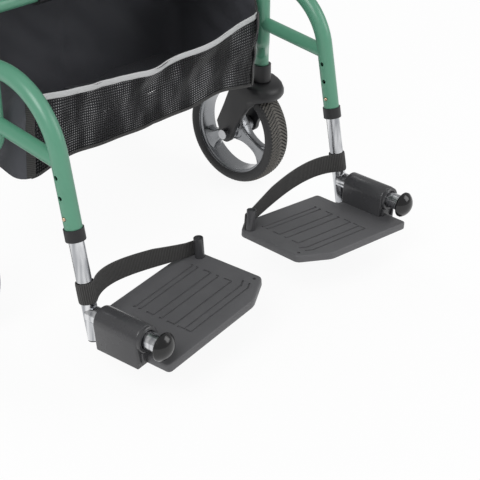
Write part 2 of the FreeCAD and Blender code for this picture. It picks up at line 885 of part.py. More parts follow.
def grip():
    """A ribbed rubber grip with a closed, rounded end."""
    start = vec(side_x, grip_start, grip_height)
    end = vec(side_x, grip_start + grip_length, grip_height)
    whole = cylinder(grip_radius, start, end)
    whole = whole.makeFillet(grip_radius / 4, whole.Edges)
    return whole.cut(rod(handle_points(), [handle_bend], inner_tube_radius))


def lever_bracket():
    start = vec(side_x, bracket_start, grip_height)
    end = start + vec(0, bracket_length, 0)
    pivot = (lever_pivot_y, lever_pivot_z)
    inner = lever_half_width + part_gap
    body = cylinder(bracket_radius, start, end)
    root = (lever_pivot_y, grip_height)
    ears = []
    for low in (side_x - inner - lever_ear, side_x + inner):
        ears.append(link(root, lever_ear_root, pivot, lever_eye_radius, low, low + lever_ear))
    whole = body.fuse(ears).cut(cylinder(inner_tube_radius, start, end))
    low, high = vec(side_x - inner, *pivot), vec(side_x + inner, *pivot)
    room = cylinder(lever_eye_radius + lever_ear / 2, low, high)
    pin = cylinder(lever_pin_radius, low - vec(lever_ear, 0, 0), high + vec(lever_ear, 0, 0))
    return Part.makeCompound([whole.cut(room).cut(pin), pin])


def brake_lever():
    pivot = vec(side_x, lever_pivot_y, lever_pivot_z)
    half = vec(lever_half_width, 0, 0)
    eye = cylinder(lever_eye_radius, pivot - half, pivot + half)
    knee = pivot + vec(0, lever_knee, -lever_knee_fall)
    tip = pivot + vec(0, lever_reach, -lever_fall)
    bar = rod([pivot, knee, tip], [lever_bend], lever_radius).fuse(Part.makeSphere(lever_tip_radius, tip))
    pin = cylinder(lever_pin_radius + running_clearance, pivot - half * 2, pivot + half * 2)
    return eye.fuse(bar).cut(pin)


def knob_height():
    return handle_post_top - knob_drop


def clamp_collar():
    low = vec(side_x, handle_post_y, clamp_bottom)
    rim = vec(side_x, handle_post_y, handle_post_top)
    high = rim + vec(0, 0, clamp_lip)
    middle = vec(side_x, handle_post_y, knob_height())
    boss_end = middle - vec(clamp_radius + knob_boss, 0, 0)
    boss = cylinder(knob_boss_radius, middle, boss_end)
    whole = cylinder(clamp_radius, low, high).fuse(boss)
    whole = whole.cut(cylinder(tube_radius, low, rim)).cut(cylinder(tube_bore, rim, high))
    return whole.cut(cylinder(knob_shaft_radius + running_clearance, middle, boss_end))


def clamp_knob():
    middle = vec(side_x, handle_post_y, knob_height())
    face = middle - vec(clamp_radius + knob_boss + part_gap, 0, 0)
    end = face - vec(knob_length, 0, 0)
    whole = cylinder(knob_radius, end, face)
    for i in range(knob_lobes):
        turn = 2 * math.pi * i / knob_lobes
        offset = vec(0, math.cos(turn), math.sin(turn)) * (knob_radius + knob_lobe_radius / 2)
        whole = whole.cut(cylinder(knob_lobe_radius, end + offset, face + offset))
    shaft = cylinder(knob_shaft_radius, face, middle - vec(inner_tube_radius + part_gap, 0, 0))
    return whole.fuse(shaft)


# Armrests
def arm_pivot_point():
    return arm_pivot_y, arm_pivot_z


def armrest_arm():
    pivot = vec(side_x, *arm_pivot_point())
    half = vec(arm_tube_radius, 0, 0)
    eye = cylinder(arm_eye_radius, pivot - half, pivot + half)
    bar = cylinder(arm_tube_radius, pivot, vec(side_x, arm_front, arm_pivot_z))
    pin = cylinder(arm_pin_radius + running_clearance, pivot - half * 2, pivot + half * 2)
    return eye.fuse(bar).cut(pin)


def armrest_pad():
    """A moulded pad with a flat top and rounded rim, on top of the arm's tube."""
    rear, front = arm_pad_rear, arm_front - arm_tube_radius / 2
    low = arm_pivot_z
    whole = box((side_x - arm_pad_half_width, front, low),
                (side_x + arm_pad_half_width, rear, low + arm_tube_radius + arm_pad_thickness))
    upright = [edge for edge in whole.Edges if edge.BoundBox.ZLength > arm_pad_thickness]
    whole = whole.makeFillet(arm_pad_corner, upright)
    top = [edge for edge in whole.Edges if edge.BoundBox.ZMin > low + arm_tube_radius]
    whole = whole.makeFillet(arm_pad_round, top)
    return whole.cut(cylinder(arm_tube_radius, vec(side_x, arm_pivot_y, low), vec(side_x, arm_front, low)))


def post_bracket(height, band_height, solids):
    """A band round the handle post, carrying the given lugs."""
    low = vec(side_x, handle_post_y, height - band_height / 2)
    high = vec(side_x, handle_post_y, height + band_height / 2)
    whole = cylinder(arm_clamp_radius, low, high).fuse(solids)
    return whole.cut(cylinder(tube_radius, low - vec(0, 0, band_height), high + vec(0, 0, band_height)))


def armrest_bracket():
    inner = arm_tube_radius + part_gap
    pivot = arm_pivot_point()
    post = (handle_post_y, arm_pivot_z)
    ears = [
        link(post, arm_clamp_height / 2, pivot, arm_eye_radius - 2, side_x + low, side_x + low + arm_ear)
        for low in (-inner - arm_ear, inner)
    ]
    reach = inner + arm_ear
    pin = cylinder(arm_pin_radius, vec(side_x - reach, *pivot), vec(side_x + reach, *pivot))
    band = post_bracket(arm_pivot_z, arm_clamp_height, ears)
    return [band.cut(pin), pin]


def back_pin():
    start = vec(side_x + arm_clamp_radius, handle_post_y, back_pivot_z)
    return start, vec(-back_bar_x + back_eye_width / 2, handle_post_y, back_pivot_z)


def backrest_bracket():
    start, end = back_pin()
    lug_end = vec(-back_bar_x - back_eye_width / 2 - part_gap, handle_post_y, back_pivot_z)
    lug = cylinder(back_clamp_height / 2, vec(side_x, handle_post_y, back_pivot_z), lug_end)
    pin = cylinder(back_pin_radius, start, end)
    return [post_bracket(back_pivot_z, back_clamp_height, [lug]).cut(pin), pin]


# Backrest
def back_bar_points():
    low = vec(-back_bar_x, handle_post_y, back_pivot_z)
    high = vec(-back_bar_x, handle_post_y, back_bar_height)
    middle = vec(0, handle_post_y + back_bar_bow, back_bar_height)
    far_high = vec(back_bar_x, handle_post_y, back_bar_height)
    far_low = vec(back_bar_x, handle_post_y, back_pivot_z)
    return [low, high, middle, far_high, far_low]


def back_bar_outside():
    return rod(back_bar_points(), [back_bar_bend, back_curve, back_bar_bend], back_bar_radius)


def backrest_bar():
    whole = back_bar_outside()
    start, end = back_pin()
    half = back_eye_width / 2
    for side in (-1, 1):
        at = vec(side * back_bar_x, handle_post_y, back_pivot_z)
        whole = whole.fuse(cylinder(back_eye_radius, at - vec(half, 0, 0), at + vec(half, 0, 0)))
    pin = cylinder(back_pin_radius + running_clearance, start, end)
    return whole.cut(pin).cut(mirrored(pin))


def backrest_pad():
    """A padded band bowed with the bar, which runs through it."""
    slope = math.atan2(back_bar_bow, back_bar_x)
    centre_y = handle_post_y + back_bar_bow - back_curve / math.cos(slope)
    centre = vec(0, centre_y, back_pad_bottom)
    height = back_pad_top - back_pad_bottom
    half = back_pad_thickness / 2
    band = ring(back_curve + half, back_curve - half, centre, centre + vec(0, 0, height))
    reach = back_pad_half_width
    keep = box((-reach, 0, back_pad_bottom), (reach, centre_y + back_curve + 2 * half, back_pad_top))
    whole = band.common(keep)
    whole = whole.makeFillet(back_pad_round, whole.Edges)
    return whole.cut(back_bar_outside())


# Bag
def bag_wires(grow, z, front):
    inset = bag_corner - grow
    return rounded_rectangle(bag_half_width - grow, front + grow, bag_rear - grow, inset, z)


def bag_shell():
    """A tapered open bag: its front leans forward towards the top."""
    low_front = bag_front + bag_front_inset
    outer = Part.makeLoft([bag_wires(0, bag_bottom, low_front), bag_wires(0, bag_top, bag_front)], True, True)
    floor = bag_bottom + bag_wall
    lining = [bag_wires(bag_wall, floor, low_front), bag_wires(bag_wall, bag_top, bag_front)]
    inner = Part.makeLoft(lining, True, True)
    shell = outer.cut(inner)
    reach = bag_half_width - bag_corner
    scoop = box((-reach, bag_front - bag_wall, bag_front_top), (reach, bag_front + bag_corner, bag_top))
    posts = cylinder(tube_radius + part_gap, vec(side_x, front_post_y, 0), vec(side_x, front_post_y, bag_top))
    return shell.cut(scoop).cut(posts).cut(mirrored(posts))


def bag_split():
    """The mesh takes the front wall and the floor's front edge; the woven panels take the rest."""
    reach = bag_half_width - bag_corner
    return box((-reach, bag_front - bag_wall, bag_bottom), (reach, bag_front + bag_corner * 2, bag_front_top))


def bag_mesh():
    return bag_shell().common(bag_split())


def bag_panels():
    cloth = bag_shell().cut(bag_split())
    tabs = []
    for y in tab_stations:
        start = vec(side_x, y - tab_width / 2, rail_height)
        end = start + vec(0, tab_width, 0)
        loop = ring(tube_radius + tab_thickness, tube_radius, start, end)
        sewn = -bag_half_width
        free = side_x + tube_radius + tab_thickness
        corners = [
            (free - tab_thickness, rail_height),
            (free, rail_height),
            (sewn, bag_top),
            (sewn, bag_top - tab_width),
            (sewn - tab_thickness, bag_top - tab_width),
            (sewn - tab_thickness, bag_top),
        ]
        points = [vec(x, start.y, z) for x, z in corners]
        drop = Part.Face(Part.makePolygon(points + points[:1])).extrude(vec(0, tab_width, 0))
        tabs.append(loop.fuse(drop.cut(cylinder(tube_radius, start, end))))
    return Part.makeCompound([cloth] + tabs + [mirrored(tab) for tab in tabs])


def build():
    """Every node's name and shape."""
    nodes = {
        "cross_tubes": cross_tubes(),
        "footrest_loops": both_sides([footrest_loop()]),
        "footrest_braces": both_sides([footrest_brace()]),
        "tube_collars": both_sides([tube_collar(), clamp_collar()]),
        "caster_housings": both_sides(caster_housing()),
        "fold_hinges": both_sides(fold_hinge()),
        "post_brackets": both_sides(armrest_bracket() + backrest_bracket()),
        "bag_mesh": bag_mesh(),
        "bag_panels": bag_panels(),
        "rear_legs": both_sides([rear_leg()]),
        "rear_cross_tube": rear_cross_tube(),
        "rear_forks": both_sides([rear_fork()]),
        "rear_bolts": both_sides(rear_bolts()),
        "brake_cable_ends": both_sides([brake_cable_end()]),
        "seat_pan": seat_pan(),
        "seat_cushion": seat_cushion(),
        "backrest_bar": backrest_bar(),
        "backrest_pad": backrest_pad(),
    }
    sides = {
        "main_tube": main_tube(),
        "front_fork": front_fork(),
        "fork_steel": fork_steel(),
        "front_rim": at_axle(rim_local(), front_axle_y),
        "front_tyre": at_axle(tyre_local(), front_axle_y),
        "rear_rim": at_axle(rim_local(), rear_axle_y),
        "rear_tyre": at_axle(tyre_local(), rear_axle_y),
        "brake_shoe": brake_shoe(),
        "hanger": hanger(),
        "hanger_caps": hanger_caps(),
        "snap_button_outer": snap_button(-1),
        "snap_button_inner": snap_button(1),
        "footplate": footplate(),
        "heel_strap": heel_strap(),
        "handle_tube": handle_tube(),
        "grip": grip(),
        "lever_bracket": lever_bracket(),
        "brake_lever": brake_lever(),
        "clamp_knob": clamp_knob(),
        "armrest_arm": armrest_arm(),
        "armrest_pad": armrest_pad(),
    }
    for name, shape in sides.items():
        nodes[f"{name}_right"] = shape
        nodes[f"{name}_left"] = mirrored(shape)
    return nodes


if __name__ == "__main__":
    os.makedirs("parts", exist_ok=True)
    for name, shape in build().items():
        shape.exportStep(f"parts/{name}.step")
        print(name, len(shape.Solids), shape.isValid(), round(shape.Volume))
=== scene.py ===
# %% [markdown]
# # A rollator transport chair
# The chair is a wheeled walker that also carries a sitter: green bent tubes, four wheels on black forks,
# a padded seat over a net bag, and two footrests that swing up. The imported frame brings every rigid
# piece in metres, in one shared frame: X to the sitter's left, -Y the way the sitter faces, Z up.
# Each lesson below says what a piece is on the real chair and how it is made here.

# %% Load the frame
import json
import math
from contextlib import contextmanager

import bmesh
import bpy
from mathutils import Matrix, Vector
from mathutils import noise as field

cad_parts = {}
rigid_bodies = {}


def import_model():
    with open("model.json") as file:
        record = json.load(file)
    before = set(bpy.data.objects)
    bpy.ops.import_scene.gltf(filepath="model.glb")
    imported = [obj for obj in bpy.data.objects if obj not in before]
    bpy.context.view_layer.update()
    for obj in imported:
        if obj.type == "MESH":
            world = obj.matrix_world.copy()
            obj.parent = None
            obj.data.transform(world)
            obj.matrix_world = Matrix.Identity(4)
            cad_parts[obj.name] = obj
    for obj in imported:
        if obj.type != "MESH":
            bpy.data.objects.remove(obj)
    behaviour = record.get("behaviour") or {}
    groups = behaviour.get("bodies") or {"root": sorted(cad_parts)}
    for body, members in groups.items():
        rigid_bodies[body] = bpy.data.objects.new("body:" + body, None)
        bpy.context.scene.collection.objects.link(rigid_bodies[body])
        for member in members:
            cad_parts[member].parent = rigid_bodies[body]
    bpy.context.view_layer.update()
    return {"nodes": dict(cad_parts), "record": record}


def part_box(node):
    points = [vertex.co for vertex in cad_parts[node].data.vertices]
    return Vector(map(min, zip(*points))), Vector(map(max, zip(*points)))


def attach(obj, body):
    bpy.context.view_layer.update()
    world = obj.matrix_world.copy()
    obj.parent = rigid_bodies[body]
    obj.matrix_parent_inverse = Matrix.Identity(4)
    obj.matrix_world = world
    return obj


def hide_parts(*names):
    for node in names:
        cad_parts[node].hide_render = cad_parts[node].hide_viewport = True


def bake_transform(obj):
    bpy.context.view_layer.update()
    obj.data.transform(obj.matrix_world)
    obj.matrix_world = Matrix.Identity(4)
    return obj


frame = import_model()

nodes = frame["nodes"]
mm = 0.001

# %% [markdown]
# ## Small tools
# An operator acts on whatever is selected, so every helper first deselects everything. A primitive is
# only a start: a grid can be laid over any form by moving its points, an outline can be drawn by
# extruding one corner after another, and faces are picked in code by their place or normal.

# %% Tools for shaping by hand
def pick_none():
    bpy.ops.object.select_all(action="DESELECT")


def select(piece):
    pick_none()
    piece.select_set(True)
    bpy.context.view_layer.objects.active = piece
    return piece


def named(piece, name):
    piece.name = piece.data.name = name
    return piece


def start(shape, name, **settings):
    """Adds a primitive with nothing else selected."""
    pick_none()
    getattr(bpy.ops.mesh, f"primitive_{shape}_add")(**settings)
    return named(bpy.context.active_object, name)


@contextmanager
def editing(piece):
    select(piece)
    bpy.ops.object.mode_set(mode="EDIT")
    yield
    bpy.ops.object.mode_set(mode="OBJECT")


def pick(kind, wanted):
    """Selects the verts, edges or faces of the mesh being edited that wanted() accepts."""
    bpy.ops.mesh.select_mode(type={"verts": "VERT", "edges": "EDGE", "faces": "FACE"}[kind])
    bpy.ops.mesh.select_all(action="DESELECT")
    mesh = bmesh.from_edit_mesh(bpy.context.object.data)
    for part in getattr(mesh, kind):
        if wanted(part):
            part.select_set(True)
    mesh.select_flush_mode()
    bmesh.update_edit_mesh(bpy.context.object.data)


def pick_all():
    bpy.ops.mesh.select_all(action="SELECT")


def clean(merge=1e-6):
    """Merges doubles and turns the faces outwards, in edit mode."""
    pick_all()
    bpy.ops.mesh.remove_doubles(threshold=merge)
    bpy.ops.mesh.normals_make_consistent(inside=False)


def modify(piece, kind, **settings):
    """Adds a modifier, sets it and applies it."""
    select(piece)
    made = piece.modifiers.new(kind, kind)
    for name, value in settings.items():
        setattr(made, name, value)
    bpy.ops.object.modifier_apply(modifier=made.name)
    return piece


def smooth(piece, angle=35):
    select(piece)
    bpy.ops.object.shade_smooth_by_angle(angle=math.radians(angle))
    return piece


def place(piece, matrix):
    """Puts a piece where matrix says, with the place in its mesh."""
    piece.matrix_world = matrix
    return settle(piece)


def settle(piece):
    """Moves a piece's own place, turn and size into its mesh."""
    select(piece)
    bpy.ops.object.transform_apply(location=True, rotation=True, scale=True)
    return piece


def join(first, *others):
    pick_none()
    for piece in (first, *others):
        piece.select_set(True)
    bpy.context.view_layer.objects.active = first
    bpy.ops.object.join()
    return first


def copied(piece, name):
    select(piece)
    bpy.ops.object.duplicate()
    return named(bpy.context.active_object, name)


def flipped(piece):
    """Mirrors a piece across the chair's middle plane and turns its faces out again."""
    with editing(piece):
        pick_all()
        bpy.ops.transform.resize(value=(-1, 1, 1), center_override=(0, 0, 0))
        bpy.ops.mesh.flip_normals()
    return piece


def mirrored(piece, name):
    return flipped(copied(piece, name))


print("shaping tools ready")


# %% Grids, outlines and turned forms
def draped_grid(name, along, around, at, closed=False):
    """A grid primitive of along by around faces, each point moved to at(u, v) with u and v from 0 to 1."""
    piece = start("grid", name, x_subdivisions=along, y_subdivisions=around, size=1, calc_uvs=True)
    for point in piece.data.vertices:
        point.co = at(point.co.x + 0.5, point.co.y + 0.5)
    if closed:
        with editing(piece):
            clean()
    return piece


def rolled_grid(name, along, around, at):
    """A draped grid whose long edges meet: a tube with filled ends."""
    piece = draped_grid(name, along, around, at, closed=True)
    with editing(piece):
        pick_all()
        bpy.ops.mesh.fill_holes(sides=0)
        clean()
    return piece


def clamped(value):
    return min(1.0, max(0.0, value))


def squared(value, power):
    """A sine or cosine bent towards a square's by a power under 1."""
    return math.copysign(abs(value) ** power, value)


def scaled_uv(piece, wide, high):
    """Stretches a piece's UV map to metres."""
    for spot in piece.data.uv_layers.active.data:
        spot.uv = (spot.uv[0] * wide, spot.uv[1] * high)


def drawn(name, points):
    """A chain of edges, drawn by extruding one point after another."""
    piece = start("plane", name, size=mm)
    with editing(piece):
        bpy.ops.mesh.select_mode(type="VERT")
        pick_all()
        bpy.ops.mesh.merge(type="CENTER")
        bpy.ops.transform.translate(value=points[0])
        for here, there in zip(points, points[1:]):
            step = Vector(there) - Vector(here)
            bpy.ops.mesh.extrude_region_move(TRANSFORM_OT_translate={"value": step})
    return piece


def slab(name, outline, along, steps=1):
    """A drawn outline, filled and extruded, in several steps where its sides are to be shaped."""
    piece = drawn(name, outline)
    with editing(piece):
        pick_all()
        bpy.ops.mesh.edge_face_add()
        for _ in range(steps):
            bpy.ops.mesh.extrude_region_move(TRANSFORM_OT_translate={"value": Vector(along) / steps})
        clean()
    return piece


def lathed(name, profile, centre, axis, steps):
    """A drawn profile, spun all the way round an axis."""
    piece = drawn(name, profile)
    with editing(piece):
        pick_all()
        bpy.ops.mesh.spin(steps=steps, angle=2 * math.pi, center=centre, axis=axis)
        clean(merge=1e-5)
    return piece


print("drawing tools ready")

# %% [markdown]
# ## Shader arithmetic
# A material is a small network of nodes. Wrapping a socket in a class with Python's operators lets the
# maths read as maths: `0.3 + 0.1 * grain` adds its two Math nodes by itself.

# %% The socket class
class Signal:
    """A socket of a shader tree that takes part in Python arithmetic."""

    def __init__(self, tree, socket=None):
        self.tree = tree
        self.socket = socket

    def node(self, kind, inputs=None, settings=None, out=0):
        """Adds a node: its settings first, then a value or a link for each named input."""
        made = self.tree.nodes.new("ShaderNode" + kind)
        for name, value in (settings or {}).items():
            setattr(made, name, value)
        for name, value in (inputs or {}).items():
            if isinstance(value, Signal):
                self.tree.links.new(value.socket, made.inputs[name])
            else:
                made.inputs[name].default_value = value
        return Signal(self.tree, made.outputs[out] if made.outputs else None)

    def maths(self, operation, *values):
        return self.node("Math", dict(enumerate(values)), {"operation": operation})

    def __add__(self, other):
        return self.maths("ADD", self, other)

    def __sub__(self, other):
        return self.maths("SUBTRACT", self, other)

    def __mul__(self, other):
        return self.maths("MULTIPLY", self, other)

    __radd__ = __add__
    __rmul__ = __mul__


# %% Shader helpers
def linear(red, green, blue):
    """A colour written as it looks on a screen, 0 to 255, in the renderer's linear light."""
    parts = [value / 255 for value in (red, green, blue)]
    return (*[p / 12.92 if p <= 0.04045 else ((p + 0.055) / 1.055) ** 2.4 for p in parts], 1)


def position(signal, scale=(1, 1, 1), turn=(0, 0, 0), source="Object"):
    """The piece's own coordinates, scaled and turned."""
    coords = signal.node("TexCoord", out={"Object": 3, "UV": 2}[source])
    return signal.node("Mapping", {"Vector": coords, "Scale": scale, "Rotation": turn})


def noise(signal, where, scale, detail=3.0):
    return signal.node("TexNoise", {"Vector": where, "Scale": scale, "Detail": detail})


def stripes(signal, way, inputs):
    """Soft bands across X or Y."""
    return signal.node("TexWave", inputs, {"bands_direction": way}, out=1)


def spread(signal, value, low, high):
    """Stretches what lies between low and high to 0 to 1."""
    return signal.node("MapRange", {"Value": value, "From Min": low, "From Max": high})


def mixed(signal, factor, first, second):
    return signal.node("Mix", {0: factor, 6: first, 7: second}, {"data_type": "RGBA"}, out=2)


def bumped(signal, height, strength, distance):
    return signal.node("Bump", {"Height": height, "Strength": strength, "Distance": distance})


finishes = {}


def material(name, recipe):
    """A new finish. Its recipe gives a shader, or the inputs of a Principled one."""
    made = bpy.data.materials.new(name)
    made.use_nodes = True
    made.node_tree.nodes.clear()
    base = Signal(made.node_tree)
    shader = recipe(base)
    if isinstance(shader, dict):
        shader = base.node("BsdfPrincipled", shader)
    base.node("OutputMaterial", {"Surface": shader})
    finishes[name] = made
    return made


def paint(piece, finish):
    """Gives every face of a piece one finish."""
    piece.data.materials.clear()
    piece.data.materials.append(finish)
    return piece


print("shader tools ready")

# %% [markdown]
# ## Metal finishes
# The frame is powder coated: the colour is even, with a faint orange-peel skin and a satin gloss. The
# footrest hanger is bright drawn aluminium, so fine lines run along the tube. Its colour also has broad
# lighter and darker bands along it, which are partly drawing streaks and partly painted reflection. Bolts
# and axles are zinc plated steel, greyer and blotchier, and the snap buttons are brass.

# %% Powder coat, aluminium, zinc and brass
def powder_coat(base):
    where = position(base)
    cloud = noise(base, where, 9.0)
    colour = mixed(base, cloud, linear(81, 141, 114), linear(93, 152, 126))
    skin = noise(base, where, 700.0, detail=2.0)
    return {
        "Base Color": colour,
        "Roughness": 0.3 + 0.1 * noise(base, where, 60.0),
        "Coat Weight": 0.25,
        "Coat Roughness": 0.25,
        "Normal": bumped(base, skin, 0.12, 0.0004),
    }


def bright_aluminium(base):
    lines = noise(base, position(base, scale=(1400, 1400, 30)), 1.0, detail=4.0)
    # The bands are partly streaks left by drawing the tube and partly painted reflection: lighter and darker
    # stripes along the tube stand in for a bright core and grey sides reflected from the studio.
    bands = noise(base, position(base, scale=(120, 120, 0.8)), 1.0, detail=1.0)
    band = spread(base, bands, 0.36, 0.64)
    return {
        "Base Color": mixed(base, band, linear(160, 162, 166), linear(226, 227, 229)),
        "Metallic": 1.0,
        "Roughness": 0.16 + 0.12 * lines,
        "Normal": bumped(base, lines, 0.08, 0.0002),
    }


def zinc_plate(base):
    cells = base.node("TexVoronoi", {"Vector": position(base), "Scale": 420.0})
    cloud = noise(base, position(base), 120.0)
    return {
        "Base Color": mixed(base, cloud, linear(166, 167, 170), linear(204, 204, 206)),
        "Metallic": 1.0,
        "Roughness": 0.26 + 0.14 * cells,
        "Normal": bumped(base, cells, 0.08, 0.0003),
    }


def polished_brass(base):
    cloud = noise(base, position(base), 300.0)
    return {
        "Base Color": mixed(base, cloud, linear(190, 158, 126), linear(222, 200, 178)),
        "Metallic": 1.0,
        "Roughness": 0.2 + 0.1 * cloud,
    }


material("frame_green", powder_coat)
material("bright_tube", bright_aluminium)
material("zinc_steel", zinc_plate)
material("brass_button", polished_brass)
print("metals ready")

# %% [markdown]
# ## Plastics and rubber
# The mouldings differ in gloss more than in colour. A spark-eroded tool leaves a fine grain on the
# footplate and the forks, the end caps are smooth, the rims have silver paint and the tyres are dull, with
# road dust on their tread. One function makes them all from a colour, a roughness and a grain.

# %% Moulded plastics and rubber
def moulding(dark, pale, rough, grain_scale, grain_strength, coat=0.0, metal=0.0):
    def recipe(base):
        where = position(base)
        grain = noise(base, where, grain_scale, detail=2.0)
        cloud = noise(base, where, 24.0, detail=4.0)
        return {
            "Base Color": mixed(base, 0.7 * cloud + 0.3 * grain, linear(*dark), linear(*pale)),
            "Metallic": metal,
            "Roughness": rough + 0.14 * (cloud - 0.5),
            "Coat Weight": coat,
            "Coat Roughness": 0.12,
            "Normal": bumped(base, grain, grain_strength, 0.0005),
        }
    return recipe


black_plastic = material("black_plastic", moulding((25, 25, 27), (35, 35, 37), 0.42, 1500, 0.12))
material("gloss_cap", moulding((13, 13, 14), (20, 20, 21), 0.16, 900, 0.03, coat=0.15))
plate_plastic = material("plate_plastic", moulding((78, 78, 80), (96, 96, 98), 0.5, 1100, 0.25))
block_black = material("block_black", moulding((54, 54, 56), (72, 72, 74), 0.27, 1300, 0.06))
rim_grey = material("rim_grey", moulding((130, 132, 135), (154, 156, 159), 0.28, 1300, 0.05,
                                         coat=0.2, metal=0.85))
tyre_rubber = material("tyre_rubber", moulding((42, 42, 43), (56, 56, 57), 0.62, 1400, 0.16))
tread_dust = material("tread_dust", moulding((86, 83, 79), (118, 115, 109), 0.7, 900, 0.2))
grip_rubber = material("grip_rubber", moulding((34, 34, 35), (46, 46, 47), 0.66, 1600, 0.2))
print("mouldings ready")

# %% [markdown]
# ## Soft finishes
# Webbing, net, cloth and vinyl. The webbing and the net follow the piece's own UV map, which its maker
# scales to metres, so that threads run along the strap and the net's holes stay round. The net is a
# solid sheet whose alpha drops out in a honeycomb of holes. Its knots carry a painted highlight, which
# broad bands of painted sheen brighten where folds would catch the light.

# %% Webbing, net, cloth, vinyl and tape
wave_scale = math.pi / 10
rib_pitch = 2.9 * mm


def ribbed_webbing(base):
    where = position(base, source="UV")
    waves = {"Vector": where, "Scale": wave_scale / rib_pitch, "Distortion": 0.4, "Phase Offset": math.pi}
    threads = stripes(base, "X", waves)
    fuzz = noise(base, where, 1800.0)
    return {
        "Base Color": mixed(base, 0.7 * threads + 0.3 * fuzz, linear(22, 22, 22), linear(70, 69, 68)),
        "Roughness": 0.78,
        "Sheen Weight": 0.15,
        "Normal": bumped(base, threads + 0.6 * fuzz, 0.35, 0.0005),
    }


net_pitch = 4.0 * mm


def open_net(base):
    where = position(base, source="UV")
    cells = base.node("TexVoronoi", {"Vector": where, "Scale": 1 / net_pitch, "Randomness": 0.12})
    cord = spread(base, cells, 0.33, 0.39)
    # Painted light: each knot gets a painted highlight in its colour, and broad diagonal bands of painted
    # sheen make that highlight stronger where folds would catch the light.
    folds = noise(base, position(base, (20, 7, 1), (0, 0, 0.6), "UV"), 1.0)
    painted_fold_sheen = spread(base, folds, 0.42, 0.62)
    rows = {"Vector": where, "Scale": wave_scale / net_pitch}
    painted_knot_glint = stripes(base, "X", rows) * stripes(base, "Y", rows) * (0.3 + 0.9 * painted_fold_sheen)
    return {
        "Base Color": mixed(base, painted_knot_glint * painted_knot_glint, linear(14, 14, 15), linear(172, 172, 174)),
        "Roughness": 0.42,
        "Specular IOR Level": 0.2,
        "Alpha": cord,
        "Normal": bumped(base, cells, 0.5, 0.0006),
    }


def woven(dark, pale, pitch, rough, sheen):
    def recipe(base):
        where = position(base, source="UV")
        threads = {"Vector": where, "Scale": 1 / (pitch * 2), "Distortion": 0.3}
        weave = 0.5 * (stripes(base, "X", threads) + stripes(base, "Y", threads))
        cloud = noise(base, where, 14.0)
        return {
            "Base Color": mixed(base, 0.6 * weave + 0.4 * cloud, linear(*dark), linear(*pale)),
            "Roughness": rough,
            "Sheen Weight": sheen,
            "Normal": bumped(base, weave, 0.3, 0.0004),
        }
    return recipe


def grained_vinyl(base):
    where = position(base)
    cells = base.node("TexVoronoi", {"Vector": where, "Scale": 480.0})
    cloud = noise(base, where, 12.0)
    return {
        "Base Color": mixed(base, cloud, linear(38, 38, 40), linear(50, 50, 52)),
        "Roughness": 0.42 + 0.12 * cells,
        "Normal": bumped(base, cells, 0.25, 0.0005),
    }


webbing = material("webbing", ribbed_webbing)
bag_net = material("bag_net", open_net)
bag_cloth = material("bag_cloth", woven((62, 63, 68), (84, 85, 92), 0.5 * mm, 0.7, 0.1))
bag_tape = material("bag_tape", woven((172, 173, 174), (214, 215, 216), 0.7 * mm, 0.5, 0.0))
seat_vinyl = material("seat_vinyl", grained_vinyl)
print("soft finishes ready")

# %% [markdown]
# ## Painting the frame's own pieces
# A rigid node whose shape is right keeps its mesh and only gets its finish. The record already says
# which slot each node uses, so the finishes are looked up by name.

# %% Paint every node by its slot
def dress(piece, body, slot_name, *replaced):
    """Lets a piece ride on a body in place of nodes. Its finish's name, slot_name, is not used."""
    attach(piece, body)
    if replaced:
        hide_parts(*replaced)
    return piece


for subpart in frame["record"]["subparts"]:
    paint(nodes[subpart["node"]], finishes[subpart["material_slot"]])

# %% [markdown]
# ## Footplates
# Each footplate is one black moulding: a tray with a chamfered inner corner, V-shaped grooves across the
# sole, a hollow post for the heel strap, and an arched block that turns on the hinge tube. The tray is a
# drawn outline that is filled, extruded and bevelled. The grooves and bores are cut by Boolean modifiers,
# because a cutter of the groove's own section is easier to place than loops in the tray. Before that a few
# plane cuts split the sole, as one large face with many holes in it would be shaded badly.

# %% Where the footrest's hinge is
side_plane = 280 * mm
hanger_foot = Vector((-side_plane, -313 * mm, 61 * mm))
hanger_lean = math.radians(10.43)
hinge_rise = 38.4 * mm
toe_in = math.radians(3)
plate_rise = math.radians(5)
at_hinge = Matrix.Translation(hanger_foot + Vector((0, 0, hinge_rise))) @ Matrix.Rotation(toe_in, 4, "Z")
at_plate = at_hinge @ Matrix.Rotation(-plate_rise, 4, "Y")


def sole(u, v, z):
    """A point of the footrest's own frame: u inwards, v forwards, z up, all in millimetres."""
    return Vector((u, -v, z)) * mm


plate_top = -27.8
plate_thickness = 12.0
plate_bottom = plate_top - plate_thickness
print("hinge at", [round(x, 3) for x in at_hinge.translation])

# %% The tray
tray_outline = [
    (30, -27), (207, -27), (232.5, -8), (232.5, 110.6), (179.9, 136.3), (-2, 136.3), (-2, 17), (30, 17),
]
corner_round, top_round, bottom_round = 6 * mm, 2.6 * mm, 1.2 * mm
inward_cuts, forward_cuts = (44, 66, 135, 215), (-1, 29, 69, 121)


def upright(edge):
    return abs(edge.verts[0].co.z - edge.verts[1].co.z) > plate_thickness * mm / 2


def at_height(z):
    def test(edge):
        return all(abs(vert.co.z - z * mm) < 0.1 * mm for vert in edge.verts)
    return test


def tray():
    points = [sole(u, v, plate_bottom) for u, v in tray_outline]
    piece = slab("tray", points, (0, 0, plate_thickness * mm))
    with editing(piece):
        pick("edges", upright)
        bpy.ops.mesh.bevel(offset=corner_round, segments=4)
        pick("edges", at_height(plate_top))
        bpy.ops.mesh.bevel(offset=top_round, segments=3)
        pick("edges", at_height(plate_bottom))
        bpy.ops.mesh.bevel(offset=bottom_round, segments=2)
        planes = [(sole(u, 0, 0), (1, 0, 0)) for u in inward_cuts]
        planes += [(sole(0, v, 0), (0, 1, 0)) for v in forward_cuts]
        for spot, normal in planes:
            pick_all()
            bpy.ops.mesh.bisect(plane_co=spot, plane_no=normal)
    return piece


